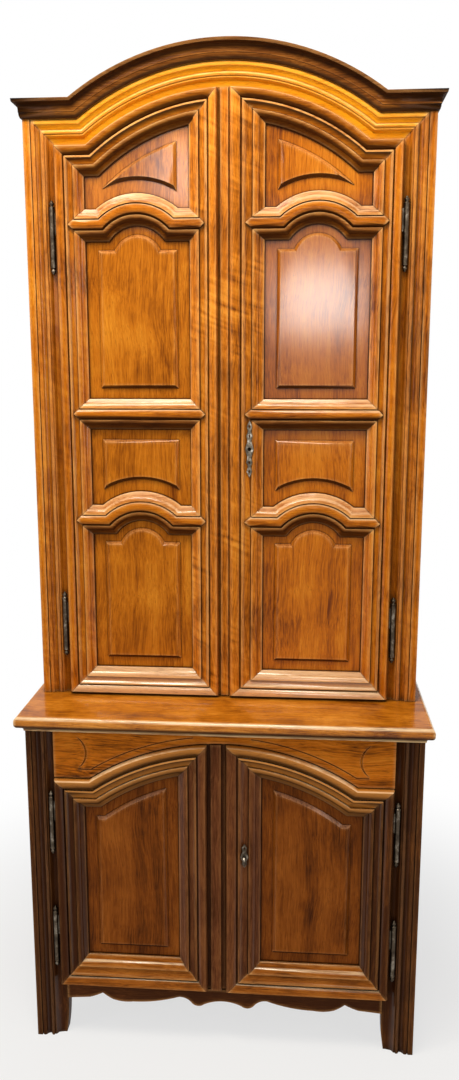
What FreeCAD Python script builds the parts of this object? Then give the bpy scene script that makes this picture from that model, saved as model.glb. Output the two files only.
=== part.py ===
import FreeCAD, Part
import math
import os

# A two-piece walnut buffet: a shallower upper cabinet with an arched cornice stands loose on a
# deeper lower cabinet. X runs to the right, Y to the back and Z up. The origin is on the floor,
# under the middle of the object's box. All sizes are in millimetres.

Vec = FreeCAD.Vector
doc = FreeCAD.newDocument("TwoPieceBuffet")

# Driving dimensions
DIMENSIONS = {
    # Lower cabinet
    "lower_width": 960,
    "lower_depth": 520,
    "lower_height": 850,
    "lower_post_width": 67,
    "foot_width": 80,
    "foot_height": 104,
    "apron_top": 150,
    "lower_floor_level": 172,
    "lower_shelf_level": 446,
    # Waist top
    "waist_width": 996,
    "waist_overhang": 32,
    "waist_thickness": 30,
    # Upper cabinet
    "upper_width": 944,
    "upper_depth": 372,
    "upper_post_width": 71,
    "head_width": 71,
    "crown_height": 22,
    "crown_front": 28,
    "crown_side": 18,
    "upper_floor_level": 908,
    "upper_first_shelf": 1290,
    "upper_shelf_step": 340,
    # Carcass stock
    "post_depth": 60,
    "head_depth": 30,
    "rear_post_size": 50,
    "side_thickness": 26,
    "board_thickness": 18,
    "back_thickness": 12,
    # Doors
    "door_thickness": 30,
    "door_gap": 2,
    "post_gap": 1,
    "panel_thickness": 9,
    "field_rise": 8,
    "field_margin": 30,
    "field_bevel": 7,
    "cross_rail_half": 36,
    # Lower doors
    "lower_door_bottom": 153,
    "lower_shoulder": 712,
    "lower_arch_centre": 234,
    "lower_arch_radius": 578,
    "lower_hinge_stile": 70,
    "lower_top_rail": 76,
    "lower_bottom_rail": 80,
    "lower_meeting_line": 8,
    "lower_left_mould_edge": 37,
    "lower_left_opening": 108,
    "lower_right_opening": 94,
    # Upper doors
    "upper_door_lift": 3,
    "upper_shoulder": 2204,
    "upper_arch_centre": 1812,
    "upper_arch_radius": 509,
    "upper_hinge_stile": 65,
    "upper_top_rail": 66,
    "upper_bottom_rail": 66,
    "upper_meeting_line": 6,
    "upper_left_mould_edge": 21,
    "upper_left_opening": 87.5,
    "upper_right_opening": 87.5,
    "hat_rail_high": 2028,
    "straight_rail": 1590,
    "hat_rail_low": 1330,
    "hat_radius": 116,
    "hat_rise": 35,
    # Ironwork
    "barrel_radius": 6,
    "pin_radius": 3,
    "pin_clearance": 0.05,
    "knuckle_length": 66,
    "leaf_thickness": 2.4,
    "leaf_length": 50,
    "leaf_depth": 16,
    "hinge_offset": 10,
    "hinge_setback": 3,
    "upper_key_height": 1508,
    "lower_key_height": 527,
    "key_side": 55,
    "keyway_half": 4.5,
    "case_width": 64,
    "case_height": 92,
    "case_depth": 16,
    "bolt_length": 46,
    "bolt_height": 16,
    "bolt_thickness": 7,
    "slide_bolt_width": 14,
    "slide_bolt_thickness": 6,
    "slide_bolt_length": 120,
    "peg_radius": 8,
    "peg_length": 14,
}

sheet = doc.addObject("Spreadsheet::Sheet", "dims")
for row, (alias, value) in enumerate(DIMENSIONS.items(), start=1):
    sheet.set(f"A{row}", alias)
    sheet.set(f"B{row}", str(value))
    sheet.setAlias(f"B{row}", alias)
doc.recompute()


def size(alias):
    return float(sheet.get(alias))


# Places worked out from the driving dimensions, as numbers and as expressions on the sheet
WAIST_LEVEL = "(dims.lower_height + dims.waist_thickness)"
FRONT_EDGE = "(-(dims.lower_depth + dims.waist_overhang) / 2)"
BACK = "((dims.lower_depth + dims.waist_overhang) / 2)"
LOWER_FACE = f"({FRONT_EDGE} + dims.waist_overhang)"
UPPER_FACE = f"({BACK} - dims.upper_depth)"
HEAD_BOTTOM = "(dims.upper_shoulder + dims.door_gap + dims.post_gap)"
HEAD_TOP = f"({HEAD_BOTTOM} + dims.head_width)"

waist_level = size("lower_height") + size("waist_thickness")
back = (size("lower_depth") + size("waist_overhang")) / 2
lower_face = size("waist_overhang") - back
upper_face = back - size("upper_depth")
head_bottom = size("upper_shoulder") + size("door_gap") + size("post_gap")
head_radius = size("upper_arch_radius") + size("door_gap") + size("post_gap")
door_back = size("door_thickness")
upper_side = size("upper_width") / 2
lower_side = size("lower_width") / 2
upper_door_edge = upper_side - size("upper_post_width") - size("post_gap")
lower_door_edge = lower_side - size("lower_post_width") - size("post_gap")
upper_door_bottom = waist_level + size("upper_door_lift")
rail_half = size("cross_rail_half")
SIDES = {"left": -1, "right": 1}
SAME_PLACE = 0.01


# Plane paths. A path is a list of segments, ("line", start, end) or ("arc", start, middle, end).
# Its points are (t, z), where t is the distance from the middle of the front, so that one path
# serves both a left-hand and a right-hand piece.
def line(start, end):
    return ("line", start, end)


def half_chord(radius, drop):
    return math.sqrt(radius ** 2 - drop ** 2)


def arc(centre, radius, start, end):
    turn_start = math.atan2(start[1] - centre[1], start[0] - centre[0])
    turn_end = math.atan2(end[1] - centre[1], end[0] - centre[0])
    turn = (turn_start + turn_end) / 2
    middle = (centre[0] + radius * math.cos(turn), centre[1] + radius * math.sin(turn))
    return ("arc", start, middle, end)


def flat_edge(outer, inner, level):
    return [line((outer, level), (inner, level))]


def bow_edge(outer, inner, centre, radius):
    start = (outer, centre[1] + half_chord(radius, outer - centre[0]))
    end = (inner, centre[1] + half_chord(radius, inner - centre[0]))
    return [arc(centre, radius, start, end)]


def arch_edge(outer, inner, level, centre, radius):
    knee = (half_chord(radius, level - centre[1]), level)
    return [line((outer, level), knee)] + bow_edge(knee[0], inner, centre, radius)


def hat_edge(outer, inner, level, centre, radius):
    half = half_chord(radius, level - centre[1])
    left = (centre[0] + half, level)
    right = (centre[0] - half, level)
    return [line((outer, level), left), arc(centre, radius, left, right), line(right, (inner, level))]


def closed_outline(top, bottom):
    start, end = top[0][1], top[-1][-1]
    low_start, low_end = bottom[0][1], bottom[-1][-1]
    sides = [(end, low_end), (low_start, start)]
    joined = [line(a, b) for a, b in sides if math.dist(a, b) > SAME_PLACE]
    return top + joined + bottom


def polygon(points):
    return [line(a, b) for a, b in zip(points, points[1:] + points[:1])]


def circle_meet(centre_a, radius_a, centre_b, radius_b):
    gap = math.dist(centre_a, centre_b)
    along = (radius_a ** 2 - radius_b ** 2 + gap ** 2) / (2 * gap)
    across = half_chord(radius_a, along)
    ux, uz = (centre_b[0] - centre_a[0]) / gap, (centre_b[1] - centre_a[1]) / gap
    return (centre_a[0] + ux * along + uz * across, centre_a[1] + uz * along - ux * across)


def line_meets_circle(start, end, centre, radius):
    dx, dz = end[0] - start[0], end[1] - start[1]
    ox, oz = start[0] - centre[0], start[1] - centre[1]
    a, b, c = dx * dx + dz * dz, ox * dx + oz * dz, ox * ox + oz * oz - radius * radius
    share = (-b - math.copysign(math.sqrt(b * b - a * c), b)) / a
    other = c / (a * share)
    best = min(share, other, key=lambda value: abs(value - 0.5))
    return (start[0] + best * dx, start[1] + best * dz)


# Moulding sections. A section is a closed list of (distance in, height proud of the face).
def quarter_turns(steps):
    return [math.pi / 2 * step / steps for step in range(steps + 1)]


def bead(start, end, base, rise, steps):
    middle, half = (start + end) / 2, (end - start) / 2
    turns = [math.pi * step / steps for step in range(steps + 1)]
    return [(middle - half * math.cos(turn), base + rise * math.sin(turn)) for turn in turns]


def hollow(start, high, end, low, steps):
    turns = quarter_turns(steps)
    return [(end - (end - start) * math.cos(turn), high - (high - low) * math.sin(turn)) for turn in turns]


def ovolo(start, end, high, low, steps):
    turns = quarter_turns(steps)
    return [(start + (end - start) * math.sin(turn), low + (high - low) * math.cos(turn)) for turn in turns]


PANEL_SEAT = -17
REBATE = 7
FRAME_UNIT = 66.0

# Where each moulding of a frame member starts and ends, as shares of the member's width
OUTER_OVOLO = (0.05, 0.33)
FILLET = (0.36, 0.42)
COVE_END = 0.63
INNER_QUIRK = 0.645
INNER_OVOLO = (0.66, 0.86)

# How proud of the door's face each moulding stands
PROUD = {
    "edge": 4,
    "outer_top": 11,
    "outer_foot": 0,
    "fillet": 6,
    "cove": -1,
    "inner_quirk": -3,
    "inner_top": 4,
    "inner_foot": -6,
    "inner_edge": -11,
}
TORUS = {"half": 12, "foot": 1, "rise": 9}


def inner_moulding(width):
    start, end = (share * width for share in INNER_OVOLO)
    points = [(INNER_QUIRK * width, PROUD["inner_quirk"])]
    points += ovolo(start, end, PROUD["inner_top"], PROUD["inner_foot"], 3)
    return points + [(width, PROUD["inner_edge"])]


def frame_section(width, thickness):
    """From the outer edge in: an ovolo, a fillet and a cove, then the moulding round the panel."""
    rebate = width * (1 - REBATE / FRAME_UNIT)
    start, end = (share * width for share in OUTER_OVOLO)
    quirk, cove = (share * width for share in FILLET)
    points = [(0, PROUD["edge"])] + ovolo(start, end, PROUD["outer_top"], PROUD["outer_foot"], 3)
    points += [(quirk, PROUD["outer_foot"]), (quirk, PROUD["fillet"])]
    points += hollow(cove, PROUD["fillet"], COVE_END * width, PROUD["cove"], 2)
    points += inner_moulding(width)
    return points + [(width, PANEL_SEAT), (rebate, PANEL_SEAT), (rebate, -thickness), (0, -thickness)]


def rail_section(half, thickness):
    """A torus along the middle, with the moulding round the panel on both sides."""
    shift = FRAME_UNIT - half
    turns = quarter_turns(2)
    upper = [(TORUS["half"] * math.sin(turn), TORUS["foot"] + TORUS["rise"] * math.cos(turn)) for turn in turns]
    upper += [(place - shift, height) for place, height in inner_moulding(FRAME_UNIT)]
    rebate = half - REBATE
    upper += [(half, PANEL_SEAT), (rebate, PANEL_SEAT), (rebate, -thickness), (0, -thickness)]
    lower = [(-place, height) for place, height in reversed(upper[1:-1])]
    return upper + lower


POST = {"bead": 12, "dip": 11, "small_bead": 9, "fillet": 3, "cove": 19}
POST_QUIRK = -5
DIP_FLOOR = -9
COVE_FLOOR = -16


def post_flat(width):
    return width - sum(POST.values())


def post_front(width):
    """From the outer edge: a flat, a large bead, a dip with a lip, a small bead, a fillet and a cove."""
    flat = post_flat(width)
    dip = flat + POST["bead"]
    small = dip + POST["dip"]
    fillet = small + POST["small_bead"]
    points = [(0, 0), (flat, 0)] + bead(flat, dip, POST_QUIRK, -POST_QUIRK, 4)
    points += hollow(dip + 1, POST_QUIRK, small - 1, DIP_FLOOR, 2)
    points += [(small - 1, POST_QUIRK)] + bead(small, fillet, POST_QUIRK - 1, -POST_QUIRK, 4)
    points += [(fillet, POST_QUIRK)]
    return points + hollow(fillet + POST["fillet"], POST_QUIRK, width, COVE_FLOOR, 2)


SEAM_STEPS = 4


def seam(points):
    """The edge through points that lie on a mitre: straight, or slightly bowed where an arc meets it."""
    start, end = points[0], points[-1]
    if all(point.distanceToLine(start, end - start) < 1e-6 for point in points[1:-1]):
        return Part.makeLine(start, end)
    bowed = Part.BSplineCurve()
    bowed.interpolate(points)
    return bowed.toShape()


def turned_face(low, high, bounds):
    """The strip between two arcs about one axis: part of a cone, a cylinder or a flat ring."""
    toward = (low.Vertexes[0].Point - low.Curve.Center).normalize()
    inner = low.Curve.Center + toward * low.Curve.Radius
    outer = high.Curve.Center + toward * high.Curve.Radius
    swept = Part.makeLine(inner, outer).revolve(low.Curve.Center, low.Curve.Axis, 360)
    made = Part.Face(swept.Faces[0].Surface, bounds)
    made.validate()
    return made


def moulding(section, path_at, place, split=None):
    """A solid whose section follows a path of lines and arcs, mitred sharp at every corner."""
    count = len(section)
    paths = [path_at(*spot) for spot in section]
    spans = range(len(paths[0]))

    def run(index, span):
        segment = paths[index][span]
        points = [place(point, section[index]) for point in segment[1:]]
        return Part.Arc(*points).toShape() if segment[0] == "arc" else Part.makeLine(*points)

    def seam_between(near, far, span, end):
        points = []
        for step in range(SEAM_STEPS + 1):
            share = step / SEAM_STEPS
            spot = tuple(a + (b - a) * share for a, b in zip(section[near], section[far]))
            points.append(place(path_at(*spot)[span][end], spot))
        return seam(points)

    runs = [[run(index, span) for span in spans] for index in range(count)]
    seams = []
    for index in range(count):
        follow = (index + 1) % count
        row = [seam_between(index, follow, span, 1) for span in spans]
        seams.append(row + [seam_between(index, follow, -1, -1)])
    faces = []
    for index in range(count):
        follow = (index + 1) % count
        for span in spans:
            low, high = runs[index][span], runs[follow][span]
            bounds = Part.Wire(Part.__sortEdges__([low, seams[index][span + 1], high, seams[index][span]]))
            curved = paths[index][span][0] == "arc"
            faces.append(turned_face(low, high, bounds) if curved else Part.Face(bounds))
    ends = [list(range(count))]
    if split is not None:
        ends = [[index for index in range(count) if section[index][0] >= split]]
        ends.append([index for index in range(count) if section[index][0] <= split])
    for members in ends:
        for span, end in ((0, 1), (-1, -1)):
            edges = []
            for index, follow in zip(members, members[1:] + members[:1]):
                edges.append(seam_between(index, follow, span, end))
            faces.append(Part.Face(Part.Wire(Part.__sortEdges__(edges))))
    shell = Part.makeShell(faces)
    shell.sewShape()
    solid = Part.makeSolid(shell)
    if solid.Volume < 0:
        solid.reverse()
    return solid


def on_front(face, side):
    return lambda point, spot: Vec(side * point[0], face - spot[1], point[1])


# Document objects
def named(kind, name):
    made = doc.addObject(kind, name)
    made.Label = name
    return made


def feature(name, shape):
    made = named("Part::Feature", name)
    made.Shape = shape
    return made


def box(name, left, right, front, rear, low, high):
    made = named("Part::Box", name)
    spans = {"Length": ("x", left, right), "Width": ("y", front, rear), "Height": ("z", low, high)}
    for edge, (axis, start, end) in spans.items():
        made.setExpression(edge, f"({end}) - ({start})")
        made.setExpression(f"Placement.Base.{axis}", start)
    return made


def group(name, pieces):
    made = named("Part::Compound", name)
    made.Links = pieces
    return made


def sketch(body, name, role, loops, place="0"):
    made = body.newObject("Sketcher::SketchObject", f"{body.Name}_{name}")
    support = [plane for plane in body.Origin.OriginFeatures if plane.Role == role]
    made.AttachmentSupport = [(support[0], "")]
    made.MapMode = "FlatFace"
    made.setExpression("AttachmentOffset.Base.z", place)
    for loop in loops:
        for segment in loop:
            spots = [Vec(point[0], point[1], 0) for point in segment[1:]]
            if segment[0] == "circle":
                made.addGeometry(Part.Circle(spots[0], Vec(0, 0, 1), segment[2][0]), False)
            elif segment[0] == "arc":
                made.addGeometry(Part.Arc(*spots), False)
            else:
                made.addGeometry(Part.LineSegment(*spots), False)
    return made


def grow(body, name, profile, length):
    made = body.newObject("PartDesign::Pad", f"{body.Name}_{name}")
    made.Profile = profile
    made.setExpression("Length", length)
    return made


def cut(body, name, profile, length=None):
    made = body.newObject("PartDesign::Pocket", f"{body.Name}_{name}")
    made.Profile = profile
    if length is None:
        made.Type = "ThroughAll"
        made.Midplane = True
    else:
        made.setExpression("Length", length)
    return made


def sided(loops, side):
    def turned(segment):
        return (segment[0], *[(side * point[0], point[1]) for point in segment[1:]])

    return [[turned(segment) for segment in loop] for loop in loops]


def plan(section, edge, face, side, inward):
    """A section seen from above: distances run inward from the edge, heights run to the front."""
    return polygon([(side * (edge + inward * place), face - height) for place, height in section])


# Doors
class Door:
    """The sizes of one door. Distances t run from the middle of the front to the door's own side."""

    def __init__(self, level, hand):
        lower = level == "lower"
        gap = size("door_gap") / 2
        meeting = size(f"{level}_meeting_line")
        self.name = f"{level}_{hand}"
        self.level = level
        self.side = SIDES[hand]
        self.face = lower_face if lower else upper_face
        self.face_rule = LOWER_FACE if lower else UPPER_FACE
        self.edge = lower_door_edge if lower else upper_door_edge
        self.edge_rule = f"(dims.{level}_width / 2 - dims.{level}_post_width - dims.post_gap)"
        self.bottom = size("lower_door_bottom") if lower else upper_door_bottom
        self.bottom_rule = "dims.lower_door_bottom" if lower else f"({WAIST_LEVEL} + dims.upper_door_lift)"
        self.shoulder = size(f"{level}_shoulder")
        self.centre = (0, size(f"{level}_arch_centre"))
        self.radius = size(f"{level}_arch_radius")
        self.hinge_stile = size(f"{level}_hinge_stile")
        self.top_rail = size(f"{level}_top_rail")
        self.bottom_rail = size(f"{level}_bottom_rail")
        if hand == "left":
            self.meeting_edge = gap - meeting
            self.mould_edge = size(f"{level}_left_mould_edge")
            self.mould_rule = f"dims.{level}_left_mould_edge"
        else:
            self.meeting_edge = meeting + gap
            self.mould_edge = self.meeting_edge
            self.mould_rule = f"(dims.{level}_meeting_line + dims.door_gap / 2)"
        self.inner = size(f"{level}_{hand}_opening")
        self.outer = self.edge - self.hinge_stile
        self.meeting_stile = self.inner - self.mould_edge
        self.middle = (self.inner + self.outer) / 2
        self.mitre = [self.arch_point(self.mould_edge, 0), self.arch_point(self.inner, self.top_rail)]
        self.hinge_levels = HINGE_LEVELS[level]

    def arch_point(self, t, depth):
        return (t, self.centre[1] + half_chord(self.radius - depth, t))

    def hat_centre(self, level):
        return (self.middle, level + size("hat_rise") - size("hat_radius"))


HINGE_LEVELS = {"lower": (595, 285), "upper": (2000, 1062)}
OVERCUT = 2


def top_rail(door):
    def path(depth, height):
        level = door.shoulder - depth
        radius = door.radius - depth
        knee = (half_chord(radius, level - door.centre[1]), level)
        start = (door.edge - depth * door.hinge_stile / door.top_rail, level)
        end = line_meets_circle(*door.mitre, door.centre, radius)
        return [line(start, knee), arc(door.centre, radius, knee, end)]

    section = frame_section(door.top_rail, door_back)
    return feature(f"{door.name}_top_rail", moulding(section, path, on_front(door.face, door.side)))


def notch(edge, inward, stile, level):
    """The pointed housing where a cross rail's mouldings mitre into a stile."""
    apex = edge + inward * rail_half * stile / FRAME_UNIT
    clear = edge - inward * OVERCUT
    high, low = level + rail_half, level - rail_half
    return polygon([(apex, level), (edge, high), (clear, high), (clear, low), (edge, low)])


def rail_levels(door):
    if door.level == "lower":
        return []
    return [size("hat_rail_high"), size("straight_rail"), size("hat_rail_low")]


def rectangle(left, right, near, far):
    return polygon([(left, near), (right, near), (right, far), (left, far)])


def leaf_slots(body, outline, tops):
    """Mortises for hinge leaves, cut down from each top level."""
    for index, top in enumerate(tops):
        slot = sketch(body, f"slot_{index}", "XY_Plane", [outline], str(top))
        cut(body, f"mortise_{index}", slot, "dims.leaf_length")


LEAF_GAP = 6


def hinge_stile(door):
    body = named("PartDesign::Body", f"{door.name}_hinge_stile")
    section = plan(frame_section(door.hinge_stile, door_back), door.edge, door.face, door.side, -1)
    profile = sketch(body, "section", "XY_Plane", [section], door.bottom_rule)
    grow(body, "length", profile, f"dims.{door.level}_shoulder - {door.bottom_rule}")
    clear = door.outer - OVERCUT
    high, low = door.shoulder - door.top_rail, door.bottom + door.bottom_rail
    top, base = door.shoulder + OVERCUT, door.bottom - OVERCUT
    over = [(door.edge, door.shoulder), (door.outer, high), (clear, high), (clear, top), (door.edge, top)]
    under = [(door.edge, door.bottom), (door.outer, low), (clear, low), (clear, base), (door.edge, base)]
    loops = [polygon(over), polygon(under)]
    loops += [notch(door.outer, 1, door.hinge_stile, level) for level in rail_levels(door)]
    cut(body, "mitres", sketch(body, "mitre", "XZ_Plane", sided(loops, door.side)))
    tops = [level + LEAF_GAP + size("leaf_length") for level in door.hinge_levels]
    ends = (door.side * (door.edge + OVERCUT), door.side * (door.edge - size("leaf_depth")))
    axis, half = door.face + size("hinge_setback"), size("leaf_thickness") / 2
    leaf_slots(body, rectangle(*ends, axis - half, axis + half), tops)
    return body


STRIPS = {
    "upper": {"start": 5, "end": 26, "front": -2, "floor": -9},
    "lower": {"start": 8, "end": 35, "front": 0, "floor": -10},
}


def strip_section(door):
    """The flat strip that the left door carries along its meeting edge, from that edge to the mouldings."""
    strip = STRIPS[door.level]
    width = door.mould_edge - door.meeting_edge
    ease = 1.5
    points = [(-width, -door_back)]
    if strip["end"] < width:
        points += [(-width, strip["floor"]), (-strip["end"], strip["floor"])]
    points += [(-strip["end"], strip["front"] - ease), (ease - strip["end"], strip["front"])]
    points += [(-strip["start"] - ease, strip["front"]), (-strip["start"], strip["front"] - ease)]
    return points + [(-strip["start"], strip["floor"]), (0, strip["floor"])]


def meeting_stile(door):
    body = named("PartDesign::Body", f"{door.name}_meeting_stile")
    section = frame_section(door.meeting_stile, door_back)
    if door.meeting_edge < door.mould_edge:
        section = section[:-1] + strip_section(door)
    loop = plan(section, door.mould_edge, door.face, door.side, 1)
    profile = sketch(body, "section", "XY_Plane", [loop], door.bottom_rule)
    top_rule = f"dims.{door.level}_arch_centre + dims.{door.level}_arch_radius"
    grow(body, "length", profile, f"{top_rule} - {door.bottom_rule}")
    start, end = door.mitre
    tip = door.arch_point(door.meeting_edge, 0)
    clear, past = door.inner + OVERCUT, door.meeting_edge - OVERCUT
    top, base = door.centre[1] + door.radius + OVERCUT, door.bottom - OVERCUT
    low = door.bottom + door.bottom_rail
    over = [line((clear, end[1]), end), line(end, start)]
    if tip != start:
        over.append(arc(door.centre, door.radius, start, tip))
    round_top = [tip, (past, tip[1]), (past, top), (clear, top), (clear, end[1])]
    over += [line(a, b) for a, b in zip(round_top, round_top[1:])]
    edge = door.mould_edge
    under = [(edge, door.bottom), (door.inner, low), (clear, low), (clear, base), (edge, base)]
    loops = [over, polygon(under)]
    loops += [notch(door.inner, -1, door.meeting_stile, level) for level in rail_levels(door)]
    cut(body, "mitres", sketch(body, "mitre", "XZ_Plane", sided(loops, door.side)))
    if door.side > 0:
        x, z, half = size("key_side"), size(f"{door.level}_key_height"), size("keyway_half")
        corners = [(x - half, z - half), (x + half, z - half), (x + half, z + half), (x - half, z + half)]
        cut(body, "keyway", sketch(body, "keyhole", "XZ_Plane", [polygon(corners)]))
    return body


def straight_member(name, door, section, ends, loops):
    """A member along X: its section on the Y-Z plane, grown from one end and mitred by loops."""
    body = named("PartDesign::Body", name)
    start, length = ends
    profile = sketch(body, "section", "YZ_Plane", [polygon(section)], start)
    grow(body, "length", profile, length)
    cut(body, "mitres", sketch(body, "mitre", "XZ_Plane", sided(loops, door.side)))
    return body


def bottom_rail(door):
    profile = frame_section(door.bottom_rail, door_back)
    section = [(door.face - height, door.bottom + place) for place, height in profile]
    start = door.mould_rule if door.side > 0 else f"-{door.edge_rule}"
    top, over = door.bottom + door.bottom_rail, door.bottom + door.bottom_rail + OVERCUT
    loops = []
    for edge, inner, outward in ((door.edge, door.outer, 1), (door.mould_edge, door.inner, -1)):
        clear = edge + outward * OVERCUT
        waste = [(edge, door.bottom), (inner, top), (inner, over), (clear, over), (clear, door.bottom)]
        loops.append(polygon(waste))
    length = f"{door.edge_rule} - {door.mould_rule}"
    return straight_member(f"{door.name}_bottom_rail", door, section, (start, length), loops)


def straight_rail(door):
    level = size("straight_rail")
    section = [(door.face - height, level + place) for place, height in rail_section(rail_half, door_back)]
    far = door.outer + rail_half * door.hinge_stile / FRAME_UNIT
    near = door.inner - rail_half * door.meeting_stile / FRAME_UNIT
    start = near if door.side > 0 else -far
    loops = []
    for tip, edge, outward in ((far, door.outer, 1), (near, door.inner, -1)):
        for up in (1, -1):
            clear = tip + outward * OVERCUT
            high, over = level + up * rail_half, level + up * (rail_half + OVERCUT)
            loops.append(polygon([(tip, level), (edge, high), (edge, over), (clear, over), (clear, level)]))
    ends = (str(start), str(far - near))
    return straight_member(f"{door.name}_straight_rail", door, section, ends, loops)


def hat_rail(door, key, level):
    centre = door.hat_centre(level)

    def path(place, height):
        reach = rail_half - abs(place)
        far = door.outer + reach * door.hinge_stile / FRAME_UNIT
        near = door.inner - reach * door.meeting_stile / FRAME_UNIT
        return hat_edge(far, near, level + place, centre, size("hat_radius") + place)

    section = rail_section(rail_half, door_back)
    shape = moulding(section, path, on_front(door.face, door.side), split=0)
    return feature(f"{door.name}_hat_rail_{key}", shape)


TONGUE = 6
FIELD_STEP = {"hat": 20, "sill": 26, "arch": 26}


def raised_panel(name, door, outline, field):
    """A panel seated behind the frame's mouldings, with a raised field that has a bevelled edge."""
    body = named("PartDesign::Body", name)
    seat = f"-({door.face_rule} + {-PANEL_SEAT} + dims.panel_thickness)"
    board = sketch(body, "outline", "XZ_Plane", sided([outline], door.side), seat)
    grow(body, "board", board, "dims.panel_thickness")
    profile = sketch(body, "field", "XZ_Plane", sided([field], door.side), seat)
    raised = grow(body, "raised", profile, "dims.panel_thickness + dims.field_rise")
    doc.recompute()
    front = door.face - PANEL_SEAT - size("field_rise")
    on_field = [
        f"Edge{index}"
        for index, edge in enumerate(raised.Shape.Edges, start=1)
        if all(abs(vertex.Y - front) < SAME_PLACE for vertex in edge.Vertexes)
    ]
    bevel = body.newObject("PartDesign::Chamfer", f"{name}_bevel")
    bevel.Base = (raised, on_field)
    bevel.setExpression("Size", "dims.field_bevel")
    return body


def lower_panel(door):
    level = door.shoulder - door.top_rail
    radius = door.radius - door.top_rail
    sill = door.bottom + door.bottom_rail
    margin = size("field_margin")
    top = arch_edge(door.outer + TONGUE, door.inner - TONGUE, level + TONGUE, door.centre, radius + TONGUE)
    outline = closed_outline(top, flat_edge(door.outer + TONGUE, door.inner - TONGUE, sill - TONGUE))
    step = FIELD_STEP["arch"]
    crest = arch_edge(door.outer - margin, door.inner + margin, level - step, door.centre, radius - step)
    base = flat_edge(door.outer - margin, door.inner + margin, sill + FIELD_STEP["sill"])
    field = closed_outline(crest, base)
    return raised_panel(f"{door.name}_panel", door, outline, field)


def upper_panels(door):
    high, low, bar = size("hat_rail_high"), size("hat_rail_low"), size("straight_rail")
    radius, margin = size("hat_radius"), size("field_margin")
    sill = door.bottom + door.bottom_rail
    far, near = door.outer + TONGUE, door.inner - TONGUE
    field_far, field_near = door.outer - margin, door.inner + margin
    arch_level, arch_radius = door.shoulder - door.top_rail, door.radius - door.top_rail

    def above(level, grown):
        return (level + rail_half - grown, door.hat_centre(level), radius + rail_half - grown)

    def below(level, grown):
        return (level - rail_half + grown, door.hat_centre(level), radius - rail_half + grown)

    step, rise = FIELD_STEP["hat"], FIELD_STEP["sill"]
    top_radius = arch_radius - FIELD_STEP["arch"]
    bow_radius = radius + rail_half + margin
    tip = circle_meet(door.centre, top_radius, door.hat_centre(high), bow_radius)
    outlines = {
        "crest": (
            arch_edge(far, near, arch_level + TONGUE, door.centre, arch_radius + TONGUE),
            hat_edge(far, near, *above(high, TONGUE)),
        ),
        "tall": (hat_edge(far, near, *below(high, TONGUE)), flat_edge(far, near, bar + rail_half - TONGUE)),
        "middle": (
            flat_edge(far, near, bar - rail_half + TONGUE),
            hat_edge(far, near, *above(low, TONGUE)),
        ),
        "low": (hat_edge(far, near, *below(low, TONGUE)), flat_edge(far, near, sill - TONGUE)),
    }
    fields = {
        "crest": (
            bow_edge(tip[0], field_near, door.centre, top_radius),
            bow_edge(tip[0], field_near, door.hat_centre(high), bow_radius),
        ),
        "tall": (
            hat_edge(field_far, field_near, *below(high, -step)),
            flat_edge(field_far, field_near, bar + rail_half + rise),
        ),
        "middle": (
            flat_edge(field_far, field_near, bar - rail_half - rise),
            bow_edge(field_far, field_near, door.hat_centre(low), bow_radius),
        ),
        "low": (
            hat_edge(field_far, field_near, *below(low, -step)),
            flat_edge(field_far, field_near, sill + rise),
        ),
    }
    panels = []
    for key, edges in outlines.items():
        name = f"{door.name}_{key}_panel"
        panels.append(raised_panel(name, door, closed_outline(*edges), closed_outline(*fields[key])))
    return group(f"{door.name}_panels", panels)


# Hinges: the post's half stands below with the pin, the door's half drops on to it from above.
# The door's leaf goes into the edge of its stile, the post's leaf straight back into the post.
KNUCKLE_GAP = 0.15
LEAF_ROOT = 2
PIN_SHORT = 1


def hinge_profile(inner, start):
    """One knuckle, from the joint outwards; inner holds the points on the axis side."""
    end, barrel = size("knuckle_length"), size("barrel_radius")
    return polygon([(inner[-1][0], start), (barrel, start), (barrel, end), (0, end)] + inner)


def hinge_half(door, index, role):
    upward = 1 if role == "door" else -1
    pin, bore = size("pin_radius"), size("pin_radius") + size("pin_clearance")
    reach = size("knuckle_length") - LEAF_GAP
    if role == "door":
        profile = hinge_profile([(0, reach), (bore, reach)], KNUCKLE_GAP)
    else:
        profile = hinge_profile([(0, PIN_SHORT - reach), (pin, PIN_SHORT - reach)], KNUCKLE_GAP)
    body = named("PartDesign::Body", f"{door.name}_{role}_hinge_{index}")
    flipped = [(segment[0], *[(p[0], upward * p[1]) for p in segment[1:]]) for segment in profile]
    turned = sketch(body, "profile", "XZ_Plane", [flipped])
    barrel = body.newObject("PartDesign::Revolution", f"{body.Name}_barrel")
    barrel.Profile = turned
    barrel.ReferenceAxis = (turned, ["V_Axis"])
    barrel.Angle = 360
    start, end = size("barrel_radius") - LEAF_ROOT, size("hinge_offset") + size("leaf_depth")
    half = size("leaf_thickness") / 2
    if role == "door":
        leaf, base = rectangle(-door.side * start, -door.side * end, -half, half), f"{LEAF_GAP}"
    else:
        leaf, base = rectangle(-half, half, start, end), f"-{LEAF_GAP} - dims.leaf_length"
    grow(body, "leaf", sketch(body, "leaf_plan", "XY_Plane", [leaf], base), "dims.leaf_length")
    body.setExpression("Placement.Base.x", f"{door.side} * ({door.edge_rule} + dims.hinge_offset)")
    body.setExpression("Placement.Base.y", f"{door.face_rule} + dims.hinge_setback")
    body.setExpression("Placement.Base.z", str(door.hinge_levels[index]))
    return body


def door_hinges(door):
    return group(f"{door.name}_door_hinges", [hinge_half(door, index, "door") for index in (0, 1)])


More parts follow.
